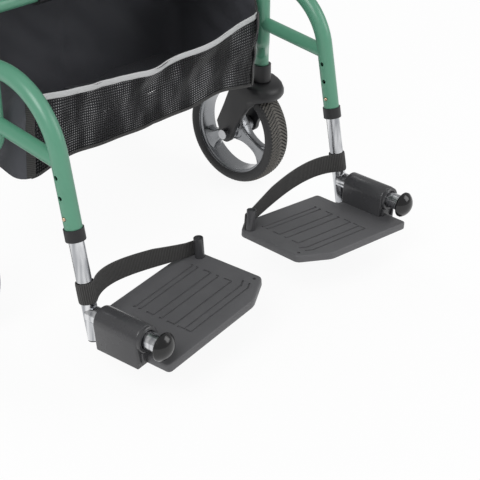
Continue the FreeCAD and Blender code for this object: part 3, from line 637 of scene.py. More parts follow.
print("tray drawn from", len(tray_outline), "corners")

# %% Grooves and bores
groove_radius = 1.75
groove_sink = 0.7
straight_back = (0, -1)
along_chamfer = (0.9, -0.44)
grooves = [
    (7, 4, straight_back), (17, 4, straight_back),
    (42, 14, straight_back), (57, 5, straight_back),
    (81, 14, straight_back), (99, 13, along_chamfer), (111, 13, along_chamfer),
]
groove_outer, groove_inner = 72, 198
hole_place, hole_radius = (222, 104), 2.6 * mm


def bar(name, first, last, radius, sides):
    """A straight rod of a few sides between two points."""
    run = last - first
    piece = start("cylinder", name, vertices=sides, radius=radius, depth=run.length)
    turn = run.to_track_quat("Z", "X").to_matrix().to_4x4()
    return place(piece, Matrix.Translation((first + last) / 2) @ turn)


def groove_cutter():
    parts = []
    for v, hook, way in grooves:
        level = plate_top - groove_sink
        ends = (sole(groove_outer, v, level), sole(groove_inner, v, level))
        hooks = (sole(groove_outer, v - hook, level),
                 sole(groove_inner + hook * way[0], v + hook * way[1], level))
        for first, last in (ends, (ends[0], hooks[0]), (ends[1], hooks[1])):
            parts.append(bar("groove", first, last, groove_radius * mm, 8))
    below, above = sole(*hole_place, plate_bottom - 2), sole(*hole_place, plate_top + 2)
    return join(*parts, bar("hole", below, above, hole_radius, 24))


def cut(piece, cutter):
    modify(piece, "BOOLEAN", operation="DIFFERENCE", object=cutter, solver="EXACT", use_self=True)
    bpy.data.objects.remove(cutter)
    return piece


print(len(grooves), "grooves across the sole")

# %% Hinge block and heel post
block_back, block_front = 17, 97
block_radius = 20
hinge_tube_radius, hinge_play = 12.7, 0.4
bore_radius, bore_past = (hinge_tube_radius + hinge_play) * mm, 9
arch_steps = 24
block_round = 2.4 * mm
lip = [(13.2, 3), (13.2, -3.2), (14.4, -4.4), (17.6, -4.4), (19, -3.2), (19, 3)]
rib_spots, rib_size, rib_round = (-12, 12), (4 * mm, 4 * mm, 17 * mm), 1.2 * mm
rib_proud, rib_rise = 1.5, 4


def hinge_block():
    turns = [math.pi * i / arch_steps for i in range(arch_steps + 1)]
    arch = [(-block_radius * math.cos(turn), block_radius * math.sin(turn)) for turn in turns]
    outline = [(-block_radius, plate_bottom), *arch, (block_radius, plate_bottom)]
    points = [sole(u, block_back, z) for u, z in outline]
    piece = slab("hinge_block", points, sole(0, block_front - block_back, 0))
    with editing(piece):
        pick("edges", lambda edge: abs(edge.verts[0].co.y - edge.verts[1].co.y) < 0.1 * mm)
        bpy.ops.mesh.bevel(offset=block_round, segments=3)
    collar = lathed("lip", [sole(r, block_front - y, 0) for r, y in lip], (0, 0, 0), (0, 1, 0), 48)
    cut(piece, bar("bore", sole(0, 0, 0), sole(0, block_front + bore_past, 0), bore_radius, 48))
    ribs = []
    for u in rib_spots:
        rib = start("cube", "rib", size=1, location=sole(u, block_front + rib_proud, plate_top + rib_rise))
        rib.scale = rib_size
        ribs.append(modify(settle(rib), "BEVEL", width=rib_round, segments=3))
    return paint(join(piece, collar, *ribs), block_black)


post_place = (221.4, 0.5)
post_radius, post_height = 7.5, 34
post_root = 1
post_wall, post_dip, post_round = 1.7 * mm, 2.2 * mm, 0.5 * mm


def heel_post():
    tall = (post_height + post_root) * mm
    middle = sole(*post_place, plate_top - post_root) + Vector((0, 0, tall / 2))
    piece = start("cylinder", "heel_post", vertices=40, radius=post_radius * mm, depth=tall, location=middle)
    settle(piece)
    with editing(piece):
        pick("faces", lambda face: face.normal.z > 0.9)
        bpy.ops.mesh.inset(thickness=post_wall)
        bpy.ops.mesh.extrude_region_move(TRANSFORM_OT_translate={"value": (0, 0, -post_dip)})
        pick("edges", lambda edge: all(v.co.z > (plate_top + post_height - 0.1) * mm for v in edge.verts)
             and len(edge.link_faces) == 2 and edge.calc_face_angle(0) > 0.5)
        bpy.ops.mesh.bevel(offset=post_round, segments=2)
    return paint(piece, block_black)


# %% Assemble both footplates
def footplate():
    sole_part = paint(cut(tray(), groove_cutter()), plate_plastic)
    piece = named(join(sole_part, hinge_block(), heel_post()), "footplate_moulding_right")
    return smooth(place(piece, at_plate), 40)


def both_sides(piece, stem, slot_name, body, node):
    """Rides a right-hand piece and its mirror image on their bodies, in place of their nodes."""
    pair = {"right": piece, "left": mirrored(piece, f"{stem}_left")}
    for side, part in pair.items():
        dress(part, f"{body}_{side}", slot_name, f"{node}_{side}")
    print(stem, len(piece.data.polygons), "faces a side")


both_sides(footplate(), "footplate_moulding", "plate_plastic", "plate", "footplate")

# %% [markdown]
# ## Heel straps
# The heel strap is a black ribbed webbing on edge. It loops round the hanger, bows back behind the heel
# and ends round the back of the heel post. Its line is worked out in plan: a turn round the tube, a
# smooth curve, and a part turn round the post. A grid is laid along that line, and the ribs of the
# weave are real ridges. The left strap hangs slacker than the right one, as cloth does.

# %% Strap line
strap_width, strap_thickness = 31 * mm, 2.2 * mm
strap_gap = 0.4 * mm
hanger_radius = 10.9 * mm
hanger_axis = Vector((0, math.sin(hanger_lean), math.cos(hanger_lean)))
strap_station = 71.0 * mm
strap_on_post = 16.0
rib_height = 0.45 * mm
hanger_wrap, wrap_steps = math.radians(330), 60
post_wrap, landing_steps = math.radians(40), 8
curve_steps = 120
pull = 0.3
slack_left = 0.25


def strap_line(slack):
    """Points, headings and width directions along the strap; slack is the angle at which it leaves."""
    hanger_middle = hanger_foot + hanger_axis * strap_station
    post_middle = at_plate @ sole(*post_place, plate_top + strap_on_post)
    post_axis = (at_plate.to_3x3() @ Vector((0, 0, 1))).normalized()
    hanger_turn = hanger_radius + strap_gap + strap_thickness / 2
    post_turn = (post_radius * mm) + strap_gap + strap_thickness / 2

    def round_axis(centre, axis, radius, angle):
        flat = Vector((math.cos(angle), math.sin(angle), 0))
        flat = (flat - axis * flat.dot(axis)).normalized()
        return centre + flat * radius, axis

    leave = slack - math.pi / 2
    dip = slack * slack_left
    arrive = math.pi / 2 - dip
    line = [round_axis(hanger_middle, hanger_axis, hanger_turn, leave - hanger_wrap * (1 - i / wrap_steps))
            for i in range(wrap_steps + 1)]
    landing = [round_axis(post_middle, post_axis, post_turn, arrive - post_wrap * i / landing_steps)
               for i in range(landing_steps + 1)]
    first, last = line[-1][0], landing[0][0]
    reach = (last - first).length * pull
    out = Vector((math.cos(slack), math.sin(slack), 0)) * reach
    home = Vector((math.cos(dip), -math.sin(dip), 0)) * reach
    for i in range(1, curve_steps):
        t = i / curve_steps
        point = (first * (1 - t) ** 3 + (first + out) * 3 * t * (1 - t) ** 2
                 + (last - home) * 3 * t * t * (1 - t) + last * t ** 3)
        line.append((point, hanger_axis.lerp(post_axis, t).normalized()))
    return line + landing


# %% Webbing along the line
gather_from, gather_run, gather_depth = 0.72, 0.2, 5.5 * mm


def strap(name, slack):
    line = strap_line(slack)
    lengths = [0.0]
    for (here, _), (there, _) in zip(line, line[1:]):
        lengths.append(lengths[-1] + (there - here).length)
    total = lengths[-1]
    steps = int(total / rib_pitch) * 5

    def at(u, v):
        wanted = u * total
        i = max(k for k in range(len(line) - 1) if lengths[k] <= wanted + 1e-9)
        t = (wanted - lengths[i]) / (lengths[i + 1] - lengths[i])
        centre = line[i][0].lerp(line[i + 1][0], t)
        wide = line[i][1].lerp(line[i + 1][1], t).normalized()
        heading = (line[i + 1][0] - line[i][0]).normalized()
        across = heading.cross(wide).normalized()
        turn = 2 * math.pi * v
        flat = squared(math.cos(turn), 0.25)
        deep = squared(math.sin(turn), 0.6)
        rib = rib_height * (0.5 + 0.5 * math.cos(2 * math.pi * wanted / rib_pitch)) * abs(deep)
        thick = strap_thickness / 2 - rib_height + rib
        gather = clamped((u - gather_from) / gather_run)
        low = -strap_width / 2
        high = strap_width / 2 - gather_depth * gather
        return centre + wide * ((low + high) / 2 + flat * (high - low) / 2) + across * (deep * thick)

    piece = rolled_grid(name, steps, 20, at)
    scaled_uv(piece, total, 2 * strap_width)
    paint(smooth(piece, 60), webbing)
    print(name, round(total, 3), "m long,", len(piece.data.polygons), "faces")
    return piece, total


def hang_strap(side, slack):
    piece, total = strap(f"heel_webbing_{side}", slack)
    if side == "left":
        flipped(piece)
    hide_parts(f"heel_strap_{side}")
    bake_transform(piece)


hang_strap("right", math.radians(40))
hang_strap("left", math.radians(46))

# %% [markdown]
# ## Tyres
# A tyre is a turned ring with slanted grooves pressed in its tread. Spinning a profile gives the ring;
# then every tread point is pulled in where a groove runs, which keeps the ring one closed mesh. The
# grooves form a shallow arrow, so that the same tyre fits both sides. Road dust lies on the ridges between
# them, so those faces get a finish of their own.

# %% Turn the tyre and press its tread
wheel_plane = 325 * mm
wheel_radius = 101.5
front_axle_y, rear_axle_y = -39 * mm, 353 * mm
wheel_height = wheel_radius * mm
tread_half = 21.0
tread_count = 92
tread_depth, tread_edge = 2.5, 96.5
crown_drop, crown_power = 3.2, 3.2
arrow_pitch, crown_band = 9.0, 2.5
ridge_share, groove_wall = 0.1, 1.6
dust_depth = 1.0


def crown(across):
    """The tread's radius across the tyre, before the grooves are pressed."""
    return wheel_radius - crown_drop * (abs(across) / tread_half) ** crown_power


def tyre_profile():
    """Half a section from the bead to the crown, then its mirror image: (across, radius)."""
    wall = [(21.0, 80.5), (22.6, 82.6), (24.2, 86.0), (24.9, 89.5), (24.6, 93.0), (23.4, 96.2)]
    half = wall + [(x, crown(x)) for x in [tread_half * (1 - i / 10) for i in range(11)]]
    return half + [(-x, r) for x, r in reversed(half[:-1])]


def turned(name, section, steps):
    """A closed section (across, radius), in millimetres, spun round the axle."""
    ring = [(x * mm, 0, r * mm) for x, r in section + section[:1]]
    return lathed(name, ring, (0, 0, 0), (1, 0, 0), steps)


def tyre():
    piece = turned("tyre", tyre_profile(), tread_count * 6)
    for point in piece.data.vertices:
        radius = math.hypot(point.co.y, point.co.z)
        across = abs(point.co.x) / mm
        if radius < tread_edge * mm:
            continue
        angle = math.atan2(point.co.z, point.co.y)
        phase = tread_count * angle / (2 * math.pi) - across / arrow_pitch
        groove = max(0.0, math.cos(2 * math.pi * phase) - ridge_share) / (1 - ridge_share)
        fade = min(1.0, across / crown_band)
        sink = tread_depth * mm * min(1.0, groove * groove_wall) * fade
        point.co.y *= (radius - sink) / radius
        point.co.z *= (radius - sink) / radius
    paint(smooth(piece, 50), tyre_rubber).data.materials.append(tread_dust)
    for face in piece.data.polygons:
        radius = math.hypot(face.center.y, face.center.z) / mm
        across = abs(face.center.x) / mm
        face.material_index = int(across < tread_half and radius > crown(across) - dust_depth)
    return piece


# %% [markdown]
# ## Rims
# The rim is a silver moulding with three broad spokes that flare into the hub and the barrel, which leaves
# three round-cornered windows. The barrel and the hub are turned; a spoke is a grid laid round a section
# that swells and thins along its length, copied twice by a third of a turn.

# %% Turn the barrel and hub, and lay the spokes
hub_half = 28.4
spoke_steps, spoke_around = 24, 28
spoke_root, spoke_length = 12, 66
spoke_width, spoke_flare, root_share = 10.5, 15.5, 0.55
spoke_depth, spoke_swell = 9.5, 5.5
spoke_hollow, hollow_share = 2.6, 0.72


def barrel():
    half = [(21.0, 80.4), (21.0, 83.0), (19.4, 84.2), (17.6, 83.2), (17.0, 78.6), (15.6, 76.6), (9.0, 75.4)]
    inside = [(-9.0, 80.4), (9.0, 80.4)]
    return turned("barrel", half + [(-x, r) for x, r in reversed(half)] + inside, 96)


def hub():
    half = [(hub_half, 6.2), (hub_half, 11.5), (hub_half - 1, 12.5), (16, 13.2), (13, 17.5), (11, 19.0)]
    return turned("hub", half + [(-x, r) for x, r in reversed(half)], 64)


def spoke():
    def at(u, v):
        away = (2 * u - 0.95) ** 2
        half_width = spoke_width + spoke_flare * away ** 1.4 * (1.0 if u > 0.5 else root_share)
        turn = 2 * math.pi * v
        wide = squared(math.cos(turn), 0.55) * half_width
        deep = squared(math.sin(turn), 0.55) * (spoke_depth + spoke_swell * away)
        hollow = spoke_hollow * max(0.0, 1 - (wide / (half_width * hollow_share)) ** 2) * (1 - away)
        deep -= math.copysign(hollow, deep) if abs(deep) > hollow else 0
        return Vector((deep, wide, spoke_root + u * spoke_length)) * mm

    return rolled_grid("spoke", spoke_steps, spoke_around, at)


def rim():
    spokes = [spoke()]
    for i in (1, 2):
        twin = copied(spokes[0], "spoke")
        spokes.append(place(twin, Matrix.Rotation(2 * math.pi * i / 3, 4, "X")))
    return paint(smooth(join(barrel(), hub(), *spokes), 40), rim_grey)


# %% Put the four wheels in place
def wheel_set():
    master = {"tyre": tyre(), "rim": rim()}
    slots = {"tyre": "tyre_rubber", "rim": "rim_grey"}
    for end, axle_y in (("front", front_axle_y), ("rear", rear_axle_y)):
        for side, sign in (("right", -1), ("left", 1)):
            spot = Matrix.Translation((sign * wheel_plane, axle_y, wheel_height))
            for kind, piece in master.items():
                part = place(copied(piece, f"{end}_{kind}_turned_{side}"), spot)
                dress(part, f"{end}_wheel_{side}", slots[kind], f"{end}_{kind}_{side}")
    for piece in master.values():
        print(piece.name, len(piece.data.polygons), "faces")
        bpy.data.objects.remove(piece)


wheel_set()

# %% [markdown]
# ## Caster forks
# A caster's fork is one thick black moulding: two flat arms that rake back to the axle and a crown with a
# hood over the front of the tyre. Its side view is drawn once, filled and extruded to the fork's full
# width. A cylinder cuts the room for the tyre, and a bevel softens every edge.

# %% Draw, extrude and hollow the fork
fork_half = 38
arch_radius, arch_half = 107.5, 29
fork_side = [
    (-24, 108), (-19, 122), (-36, 158), (-47, 184), (-55, 200), (-68, 207), (-100, 207), (-116, 205),
    (-126, 200), (-131, 192), (-131, 184), (-127, 178), (-116, 175), (-104, 168), (-92, 160), (-78, 144),
    (-66, 124), (-58, 109), (-55, 101.5),
]
nose_from, nose_run, nose_depth = -84, 36, 30
axle_boss = 16
fork_round = 2.6 * mm


def axle_end():
    """The round end below the axle, from the front edge to the back edge."""
    turns = [math.radians(180 + 210 * i / 14) for i in range(1, 14)]
    middle = front_axle_y / mm
    return [(middle + axle_boss * math.cos(t), wheel_radius + axle_boss * math.sin(t)) for t in turns]


def caster_fork():
    outline = [(-fork_half * mm - wheel_plane, y * mm, z * mm) for y, z in fork_side + axle_end()]
    piece = slab("caster_fork_right", outline, (2 * fork_half * mm, 0, 0), steps=16)
    for point in piece.data.vertices:
        across = abs(point.co.x + wheel_plane) / (fork_half * mm)
        ahead = clamped((nose_from * mm - point.co.y) / (nose_run * mm))
        point.co.y += nose_depth * mm * (1 - math.sqrt(max(0.0, 1 - across ** 2))) * ahead
    axle = Vector((-wheel_plane, front_axle_y, wheel_height))
    reach = Vector((arch_half * mm, 0, 0))
    cut(piece, bar("arch", axle - reach, axle + reach, arch_radius * mm, 96))
    modify(piece, "BEVEL", width=fork_round, segments=3, limit_method="ANGLE", angle_limit=math.radians(38))
    return paint(smooth(piece, 40), black_plastic)


both_sides(caster_fork(), "caster_fork", "black_plastic", "caster", "front_fork")

# %% [markdown]
# ## Bag
# The bag hangs from the seat rails by four sewn tabs. Its front is a black net that sags between its
# corners under a grey tape, and its sides, back and floor are charcoal cloth. Every part of it lies on
# one rule: how far round the bag a point is, and how high. Grids laid over that rule give the net, the
# walls and the floor, and a little noise in the rule gives the folds of hanging cloth.

# %% The bag's surface
bag_half, bag_rear = 252.0, 55.0
bag_round = 30.0
bag_foot, bag_rim = 258.0, 440.0
front_low, front_high = -152.0, -170.0
seam = 238.0
corner_run = bag_round * math.pi / 2
flat_front = bag_half - bag_round
hem_height, corner_droop, droop_at, droop_spread = 249, 10, 262, 40
fold_depth, crease_depth = 9.0, 2.0
hem_hold, rim_hold, rim_climb = 60, 30, 75
tape_low, tape_rise, tape_reach = 341, 21, 212


def bag_front_y(z):
    return front_low + (front_high - front_low) * (z - bag_foot) / (bag_rim - bag_foot)


def side_run(z):
    return bag_rear - bag_front_y(z) - 2 * bag_round


def bag_plan(s, z):
    """The plan point and outward direction, s millimetres round from the front's middle to the right."""
    front = bag_front_y(z)
    stops = [flat_front]
    for run in (corner_run, side_run(z), corner_run):
        stops.append(stops[-1] + run)
    if s <= stops[0]:
        return (-s, front), (0, -1)
    if s <= stops[1]:
        turn = (s - stops[0]) / bag_round
        out = (-math.sin(turn), -math.cos(turn))
        return (-flat_front + bag_round * out[0], front + bag_round + bag_round * out[1]), out
    if s <= stops[2]:
        return (-bag_half, front + bag_round + s - stops[1]), (-1, 0)
    if s <= stops[3]:
        turn = (s - stops[2]) / bag_round
        out = (-math.cos(turn), math.sin(turn))
        return (-flat_front + bag_round * out[0], bag_rear - bag_round + bag_round * out[1]), out
    return (-flat_front + s - stops[3], bag_rear), (0, 1)


def half_round(z):
    return 2 * flat_front + 2 * corner_run + side_run(z)


def hem(s):
    """The height of the bag's lower edge."""
    away = abs(s)
    droop = corner_droop * math.exp(-((away - droop_at) / droop_spread) ** 2)
    return hem_height - droop - 3 * math.sin(away / 31) - 1.5 * math.sin(s / 17 + 1)


def fold(s, z):
    """How far hanging cloth stands off its plain surface."""
    slant = field.noise(Vector((s / 62 + z / 46, z / 120 - s / 170, 3.1)))
    small = field.noise(Vector((s / 26 + z / 30, z / 70, 7.7)))
    return fold_depth * slant + crease_depth * small


def bag_point(s, z, grow=0.0):
    (x, y), (out_x, out_y) = bag_plan(abs(s), z)
    belly = grow + fold(s, z) * clamped((z - hem(s)) / hem_hold) * clamped((bag_rim - z) / rim_hold)
    side = 1 if s >= 0 else -1
    return Vector((side * (x + out_x * belly), y + out_y * belly, z)) * mm


def tape_height(s):
    return tape_low + tape_rise * min(1.2, abs(s) / tape_reach) ** 1.6


print("the bag measures", round(2 * half_round(bag_rim)), "mm round its rim")

# %% Net front, tape and cloth
net_rows, net_columns = 34, 120
net_thickness, net_drop = 0.8 * mm, 100 * mm
tape_width, tape_thickness, tape_sink = 9.5 * mm, 2.6 * mm, 3.5
up = Vector((0, 0, 1))


def hang(piece, finish, slot_name, *replaced):
    dress(paint(smooth(piece, 60), finish), "main_frame", slot_name, *replaced)
    print(piece.name, len(piece.data.polygons), "faces")


def net_at(u, v):
    s = seam * (2 * u - 1)
    low, high = hem(s), tape_height(s)
    return bag_point(s, low + (high - low) * v)


net = draped_grid("bag_net_front", net_columns, net_rows, net_at)
scaled_uv(net, 2 * seam * mm, net_drop)
modify(net, "SOLIDIFY", thickness=net_thickness, offset=0)
hang(net, bag_net, "bag_net", "bag_mesh")


def ribbon(name, line, steps, wide, thick):
    """A flat band along line(u), which gives a point, the band's width direction and its face's."""
    def at(u, v):
        centre, width_way, face_way = line(u)
        turn = 2 * math.pi * v
        flat = squared(math.cos(turn), 0.4) * wide / 2
        deep = squared(math.sin(turn), 0.7) * thick / 2
        return centre + width_way * flat + face_way * deep

    piece = rolled_grid(name, steps, 10, at)
    stations = [line(i / steps)[0] for i in range(steps)]
    long = sum((there - here).length for here, there in zip(stations, stations[1:]))
    scaled_uv(piece, long, 2 * wide)
    return piece


def outward(s, z):
    out = bag_plan(abs(s), z)[1]
    return Vector((out[0] if s >= 0 else -out[0], out[1], 0))


def tape_line(u):
    s = seam * (2 * u - 1)
    z = tape_height(s) - tape_sink
    return bag_point(s, z), up, outward(s, z)


tape = ribbon("bag_tape_front", tape_line, 110, tape_width, tape_thickness)
hang(tape, bag_tape, "bag_net")

# %% Cloth walls and floor
wall_columns, wall_rows, floor_rows = 150, 22, 12
spine = 120.0
floor_sag = 7 * mm
cloth_thickness = 1.4 * mm
wall_uv_height, floor_uv_height = 0.19, 0.11


def rim_height(s):
    away = clamped((abs(s) - seam) / rim_climb)
    rise = away * away * (3 - 2 * away)
    return tape_height(seam) + (bag_rim - tape_height(seam)) * rise


def wall_at(u, v):
    end = half_round(bag_foot)
    s = seam + (2 * end - 2 * seam) * u
    s = s if s <= end else s - 2 * end
    low, high = hem(s), rim_height(s)
    z = low + (high - low) * v
    stretch = (half_round(z) - seam) / (end - seam)
    where = math.copysign(seam + (abs(s) - seam) * stretch, s)
    return bag_point(where, z)


def floor_at(u, v):
    end = half_round(bag_foot)
    s = end * (2 * u - 1)
    rim = bag_point(s * half_round(hem(s)) / end, hem(s))
    middle = Vector((max(-spine * mm, min(spine * mm, rim.x)), (front_low + bag_rear) / 2 * mm, rim.z))
    point = rim.lerp(middle, v)
    point.z -= floor_sag * math.sin(math.pi * v / 2) ** 2
    return point


walls = draped_grid("bag_cloth_body", wall_columns, wall_rows, wall_at)
scaled_uv(walls, 2 * (half_round(bag_foot) - seam) * mm, wall_uv_height)
under = draped_grid("bag_floor", 200, floor_rows, floor_at, closed=True)
scaled_uv(under, 2 * half_round(bag_foot) * mm, floor_uv_height)
cloth = join(walls, under)
modify(cloth, "SOLIDIFY", thickness=cloth_thickness, offset=-1)
hang(cloth, bag_cloth, "bag_cloth", "bag_panels")

# %% Bindings and tabs
rail_height, rail_reach = 505.0, 280.0
tab_radius = 13.9
tab_stations = (-38.0, 36.0)
tab_from, tab_turn, tab_steps = -40, 330, 40
tab_sewn, tab_proud = (34, 4), 1.2


def seam_line(u):
    """The binding down the right front corner."""
    z = hem(seam) + (rim_height(seam) - hem(seam)) * u
    out = outward(seam, z)
    return bag_point(seam, z, grow=0.8), Vector((-out.y, out.x, 0)), out


def hem_line(u):
    s = seam * (2 * u - 1)
    return bag_point(s, hem(s)), up, outward(s, hem(s))


def rim_line(u):
    end = half_round(bag_rim)
    s = seam + (2 * end - 2 * seam) * u
    s = s if s <= end else s - 2 * end
    return bag_point(s, rim_height(s) - 2), up, outward(s, rim_height(s))


def tab_path():
    """Across the right rail: up from the bag's wall, round the rail and back to the wall."""
    sewn = [(-bag_half - tab_proud, bag_rim - below) for below in tab_sewn]
    turns = [math.radians(tab_from + tab_turn * i / tab_steps) for i in range(tab_steps + 1)]
    loop = [(-rail_reach + tab_radius * math.cos(t), rail_height + tab_radius * math.sin(t)) for t in turns]
    return sewn + loop


def tab(y):
    path = tab_path()

    def line(u):
        i = min(int(u * (len(path) - 1)), len(path) - 2)
        t = u * (len(path) - 1) - i
        (x0, z0), (x1, z1) = path[i], path[i + 1]
        face = Vector((z1 - z0, 0, x0 - x1)).normalized()
        return Vector((x0 + (x1 - x0) * t, y, z0 + (z1 - z0) * t)) * mm, Vector((0, 1, 0)), face

    return ribbon("tab", line, 2 * (len(path) - 1), wide=32 * mm, thick=1.8 * mm)


def paired(piece):
    return join(piece, mirrored(piece, piece.name))


corners = paired(ribbon("seam", seam_line, 40, wide=13 * mm, thick=2.2 * mm))
lower_edge = ribbon("hem", hem_line, 110, wide=5 * mm, thick=tape_thickness)
upper_edge = ribbon("rim", rim_line, 150, wide=9 * mm, thick=tape_thickness)
bindings = named(join(corners, lower_edge, upper_edge), "bag_bindings")
hang(bindings, webbing, "webbing")
tabs = named(paired(join(*[tab(y) for y in tab_stations])), "bag_tabs")
hang(tabs, webbing, "webbing")
cloth_cut = (2 * (half_round(bag_foot) - seam) * mm, 0.42)

# %% [markdown]
# ## Seat, backrest and armrest pads
# The seat and the backrest are foam under black vinyl, so they are blown up a little from within. A copy
# of each plain pad is remeshed evenly, a Cloth modifier presses it outwards for a few frames, and no
# point may move further than a cap. The base stays pinned where the pad rests. A welt is sewn round the
# widest line afterwards, because a remesh would swallow it.

# %% Blow up a pad
blow_pressure, blow_frames = 4, 20


def pad_copy(node, name):
    piece = copied(nodes[node], name)
    bpy.ops.object.parent_clear(type="CLEAR_KEEP_TRANSFORM")
    settle(piece)
    with editing(piece):
        clean(merge=1e-5)
    return piece


def plumped(piece, voxel, cap, pinned):
    """Remeshes a pad, presses it outwards as cloth and holds each point within cap of where it began."""
    modify(piece, "REMESH", mode="VOXEL", voxel_size=voxel)
    before = [point.co.copy() for point in piece.data.vertices]
    base = piece.vertex_groups.new(name="base")
    base.add([i for i, spot in enumerate(before) if pinned(spot)], 1.0, "REPLACE")
    select(piece)
    blown = piece.modifiers.new("blown", "CLOTH")
    blown.settings.vertex_group_mass = "base"
    blown.settings.use_pressure = True
    blown.settings.uniform_pressure_force = blow_pressure
    blown.settings.effector_weights.gravity = 0
    blown.point_cache.frame_end = blow_frames
    for step in range(1, blow_frames + 1):
        bpy.context.scene.frame_set(step)
    bpy.ops.object.modifier_apply(modifier="blown")
    bpy.context.scene.frame_set(1)
    piece.vertex_groups.clear()
    for point, spot in zip(piece.data.vertices, before):
        moved = point.co - spot
        if moved.length > cap:
            point.co = spot + moved.normalized() * cap
    modify(piece, "SMOOTH", factor=0.5, iterations=4)
    return modify(piece, "SUBSURF", levels=1, render_levels=1)


print("pads are blown up for", blow_frames, "frames")

# %% Sew a welt and finish a pad
welt_radius, welt_step = 2.2 * mm, 8 * mm


def stuffed(piece, body, node):
    dress(paint(smooth(piece, 60), seat_vinyl), body, "seat_vinyl", node)
    low, high = (Vector(corner) for corner in (piece.bound_box[0], piece.bound_box[6]))
    print(piece.name, [round(x * 1000) for x in high - low], "mm,", len(piece.data.polygons), "faces")


def welt(pad, spots, axis):
    """A thin sewn cord on a pad's skin, round the closed line of spots."""
    skin = [pad.closest_point_on_mesh(spot)[1] for spot in spots]
    count = len(skin)

    def line(u):
        i = int(u * count) % count
        point = skin[i].lerp(skin[(i + 1) % count], u * count - int(u * count))
        way = (skin[(i + 1) % count] - skin[i - 1]).normalized()
        side = way.cross(axis).normalized()
        return point, side, side.cross(way).normalized()

    return join(pad, ribbon("welt", line, count, 2 * welt_radius, 2 * welt_radius))


def rounded_rectangle(half_wide, half_high, corner, steps=14):
    """Points round a rectangle with rounded corners, about its middle."""
    points = []
    for quarter, (right, top) in enumerate(((1, 1), (-1, 1), (-1, -1), (1, -1))):
        for i in range(steps):
            turn = math.pi / 2 * (quarter + i / steps)
            points.append((right * (half_wide - corner) + corner * math.cos(turn),
                           top * (half_high - corner) + corner * math.sin(turn)))
    runs = []
    for (x0, y0), (x1, y1) in zip(points, points[1:] + points[:1]):
        parts = max(1, int(math.hypot(x1 - x0, y1 - y0) / welt_step))
        runs += [(x0 + (x1 - x0) * i / parts, y0 + (y1 - y0) * i / parts) for i in range(parts)]
    return runs


# %% Seat cushion
seat_low, seat_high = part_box("seat_cushion")
seat_middle, seat_half = (seat_low + seat_high) / 2, (seat_high - seat_low) / 2
seat_corner = 38 * mm
welt_height = seat_low.z + 13.3 * mm

cushion = plumped(pad_copy("seat_cushion", "seat_cushion_sewn"), voxel=5 * mm, cap=7 * mm,
                  pinned=lambda spot: spot.z < seat_low.z + 4 * mm)
seat_line = [Vector((seat_middle.x + x, seat_middle.y + y, welt_height))
             for x, y in rounded_rectangle(seat_half.x, seat_half.y, seat_corner)]
stuffed(welt(cushion, seat_line, up), "seat", "seat_cushion")

# %% Backrest pad
back_low, back_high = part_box("backrest_pad")
back_middle, back_half = (back_low + back_high) / 2, (back_high - back_low) / 2
back_curve = 842 * mm
back_bulge = back_high.y - 15 * mm
back_corner = 12 * mm


def back_spot(x, z):
    """A point in the middle of the bowed pad's thickness."""
    return Vector((x, back_bulge - back_curve + math.sqrt(back_curve ** 2 - x ** 2), back_middle.z + z))


back_pad = plumped(pad_copy("backrest_pad", "backrest_pad_sewn"), voxel=4 * mm, cap=6 * mm,
                   pinned=lambda spot: False)
back_line = [back_spot(x, z) for x, z in rounded_rectangle(back_half.x, back_half.z, back_corner)]
stuffed(welt(back_pad, back_line, Vector((0, 1, 0))), "backrest", "backrest_pad")

# %% Armrest pads
for side in ("right", "left"):
    arm_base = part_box(f"armrest_pad_{side}")[0].z + 3 * mm
    arm_pad = plumped(pad_copy(f"armrest_pad_{side}", f"armrest_pad_moulded_{side}"), voxel=3 * mm,
                      cap=2 * mm, pinned=lambda spot: spot.z < arm_base)
    stuffed(arm_pad, f"armrest_{side}", f"armrest_pad_{side}")

# %% [markdown]
# ## Handgrips
# A walker's grip is a rubber sleeve with a flange at the front, rings under the fingers and a closed,
# rounded end. A profile with those rings is drawn along the handle and spun round it.

# %% Turn the grips
grip_front, grip_length, grip_radius = 262.0, 120.0, 16.5
grip_height = 940.0
grip_bore = 13.0
grip_rings, ring_steps = 9, 8
ring_height, ring_swell, ring_sink = 1.3, 0.8, 1.4
rings_from, rings_run = 10, grip_length - 34
grip_end, end_sink, end_steps = 16, 0.4, 15


def grip_profile():
    """(along, radius) from the flange to the rounded end."""
    flange = [(0, 2.4), (1, 3.2), (4, 3.2), (6, 1)]
    line = [(0, grip_bore)] + [(along, grip_radius + proud) for along, proud in flange]
    steps = grip_rings * ring_steps
    for i in range(steps + 1):
        swell = ring_swell * math.sin(math.pi * i / steps)
        ring = ring_height * math.cos(2 * math.pi * i / ring_steps)
        line.append((rings_from + rings_run * i / steps, grip_radius - ring_sink + swell + ring))
    for t in [math.radians(90 * i / end_steps) for i in range(end_steps)]:
        along = grip_length - grip_end + grip_end * math.sin(t)
        line.append((along, (grip_radius - end_sink) * math.cos(t) ** 0.6))
    return line + [(grip_length, 0.01)]


def grip():
    points = [(-side_plane, (grip_front + y) * mm, (grip_height + r) * mm) for y, r in grip_profile()]
    piece = lathed("grip_sleeve_right", points, (-side_plane, 0, grip_height * mm), (0, 1, 0), 64)
    return paint(smooth(piece, 50), grip_rubber)


both_sides(grip(), "grip_sleeve", "grip_rubber", "handle", "grip")

# %% [markdown]
# ## Studio
# The photograph is a cut-out on white. The floor is pale, and to the camera and to mirror-like metal it
# is mostly white, so that it keeps a faint shadow. A large soft lamp above the camera's left gives the
# tubes their long highlight.

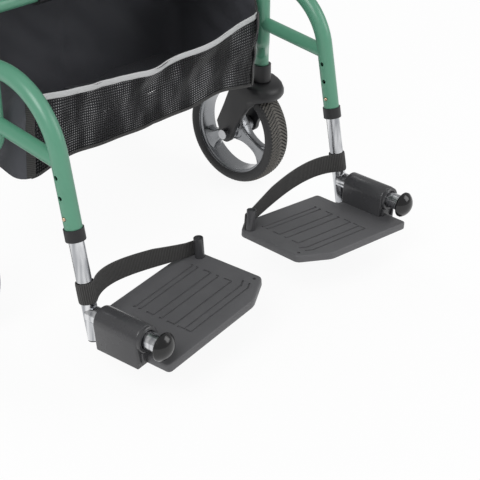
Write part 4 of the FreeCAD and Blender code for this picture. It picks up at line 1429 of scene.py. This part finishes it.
# %% Floor, lamps and camera
camera_place = (-1.1806, -1.3854, 0.9841)
camera_back = Vector((-0.6525, -0.5824, 0.4848))
camera_lens = 89.65
floor_size, floor_glow = 12.0, 0.92
sky_glow = 0.46


def studio_floor(base):
    camera_ray, glossy, clear = (base.node("LightPath", out=ray) for ray in (0, 3, 6))
    seen = base.maths("MAXIMUM", camera_ray, base.maths("MAXIMUM", glossy, clear))
    cloud = noise(base, position(base), 3.0)
    chalk = mixed(base, cloud, (0.90, 0.90, 0.90, 1), (0.94, 0.94, 0.94, 1))
    matte = base.node("BsdfPrincipled", {"Base Color": chalk, "Roughness": 0.7})
    white = base.node("Emission", {"Color": (1, 1, 1, 1), "Strength": 1.0})
    return base.node("MixShader", {0: floor_glow * seen, 1: matte, 2: white})


floor = start("plane", "studio_floor", size=floor_size)
paint(floor, material("studio_floor", studio_floor))


def soft_lamp(name, place_at, aim_at, size, power):
    pick_none()
    bpy.ops.object.light_add(type="AREA", location=place_at)
    lamp = bpy.context.active_object
    lamp.name = name
    lamp.data.size = size
    lamp.data.energy = power
    lamp.rotation_euler = (Vector(aim_at) - Vector(place_at)).to_track_quat("-Z", "Y").to_euler()


soft_lamp("key_lamp", (-2.2, -1.0, 2.6), (0, 0, 0.3), 1.6, 52)
soft_lamp("fill_lamp", (1.6, -2.2, 1.6), (0, 0, 0.4), 1.6, 22)
soft_lamp("back_lamp", (0.8, 2.4, 2.2), (0, 0, 0.4), 1.6, 30)

world = bpy.data.worlds.new("studio")
bpy.context.scene.world = world
world.use_nodes = True
world.node_tree.nodes.clear()
sky = Signal(world.node_tree)
camera_ray = sky.node("LightPath", out=0)
sky_strength = sky_glow + (1 - sky_glow) * camera_ray
sky_light = sky.node("Background", {"Color": (1, 1, 1, 1), "Strength": sky_strength})
sky.node("OutputWorld", {"Surface": sky_light})

bpy.ops.object.camera_add(location=camera_place)
camera = bpy.context.active_object
camera.rotation_euler = (-camera_back).to_track_quat("-Z", "Y").to_euler()
camera.data.lens = camera_lens
camera.data.sensor_width = 36
camera.data.clip_end = 50
bpy.context.scene.camera = camera
bpy.context.scene.view_settings.view_transform = "Standard"
print("camera at", camera_place)
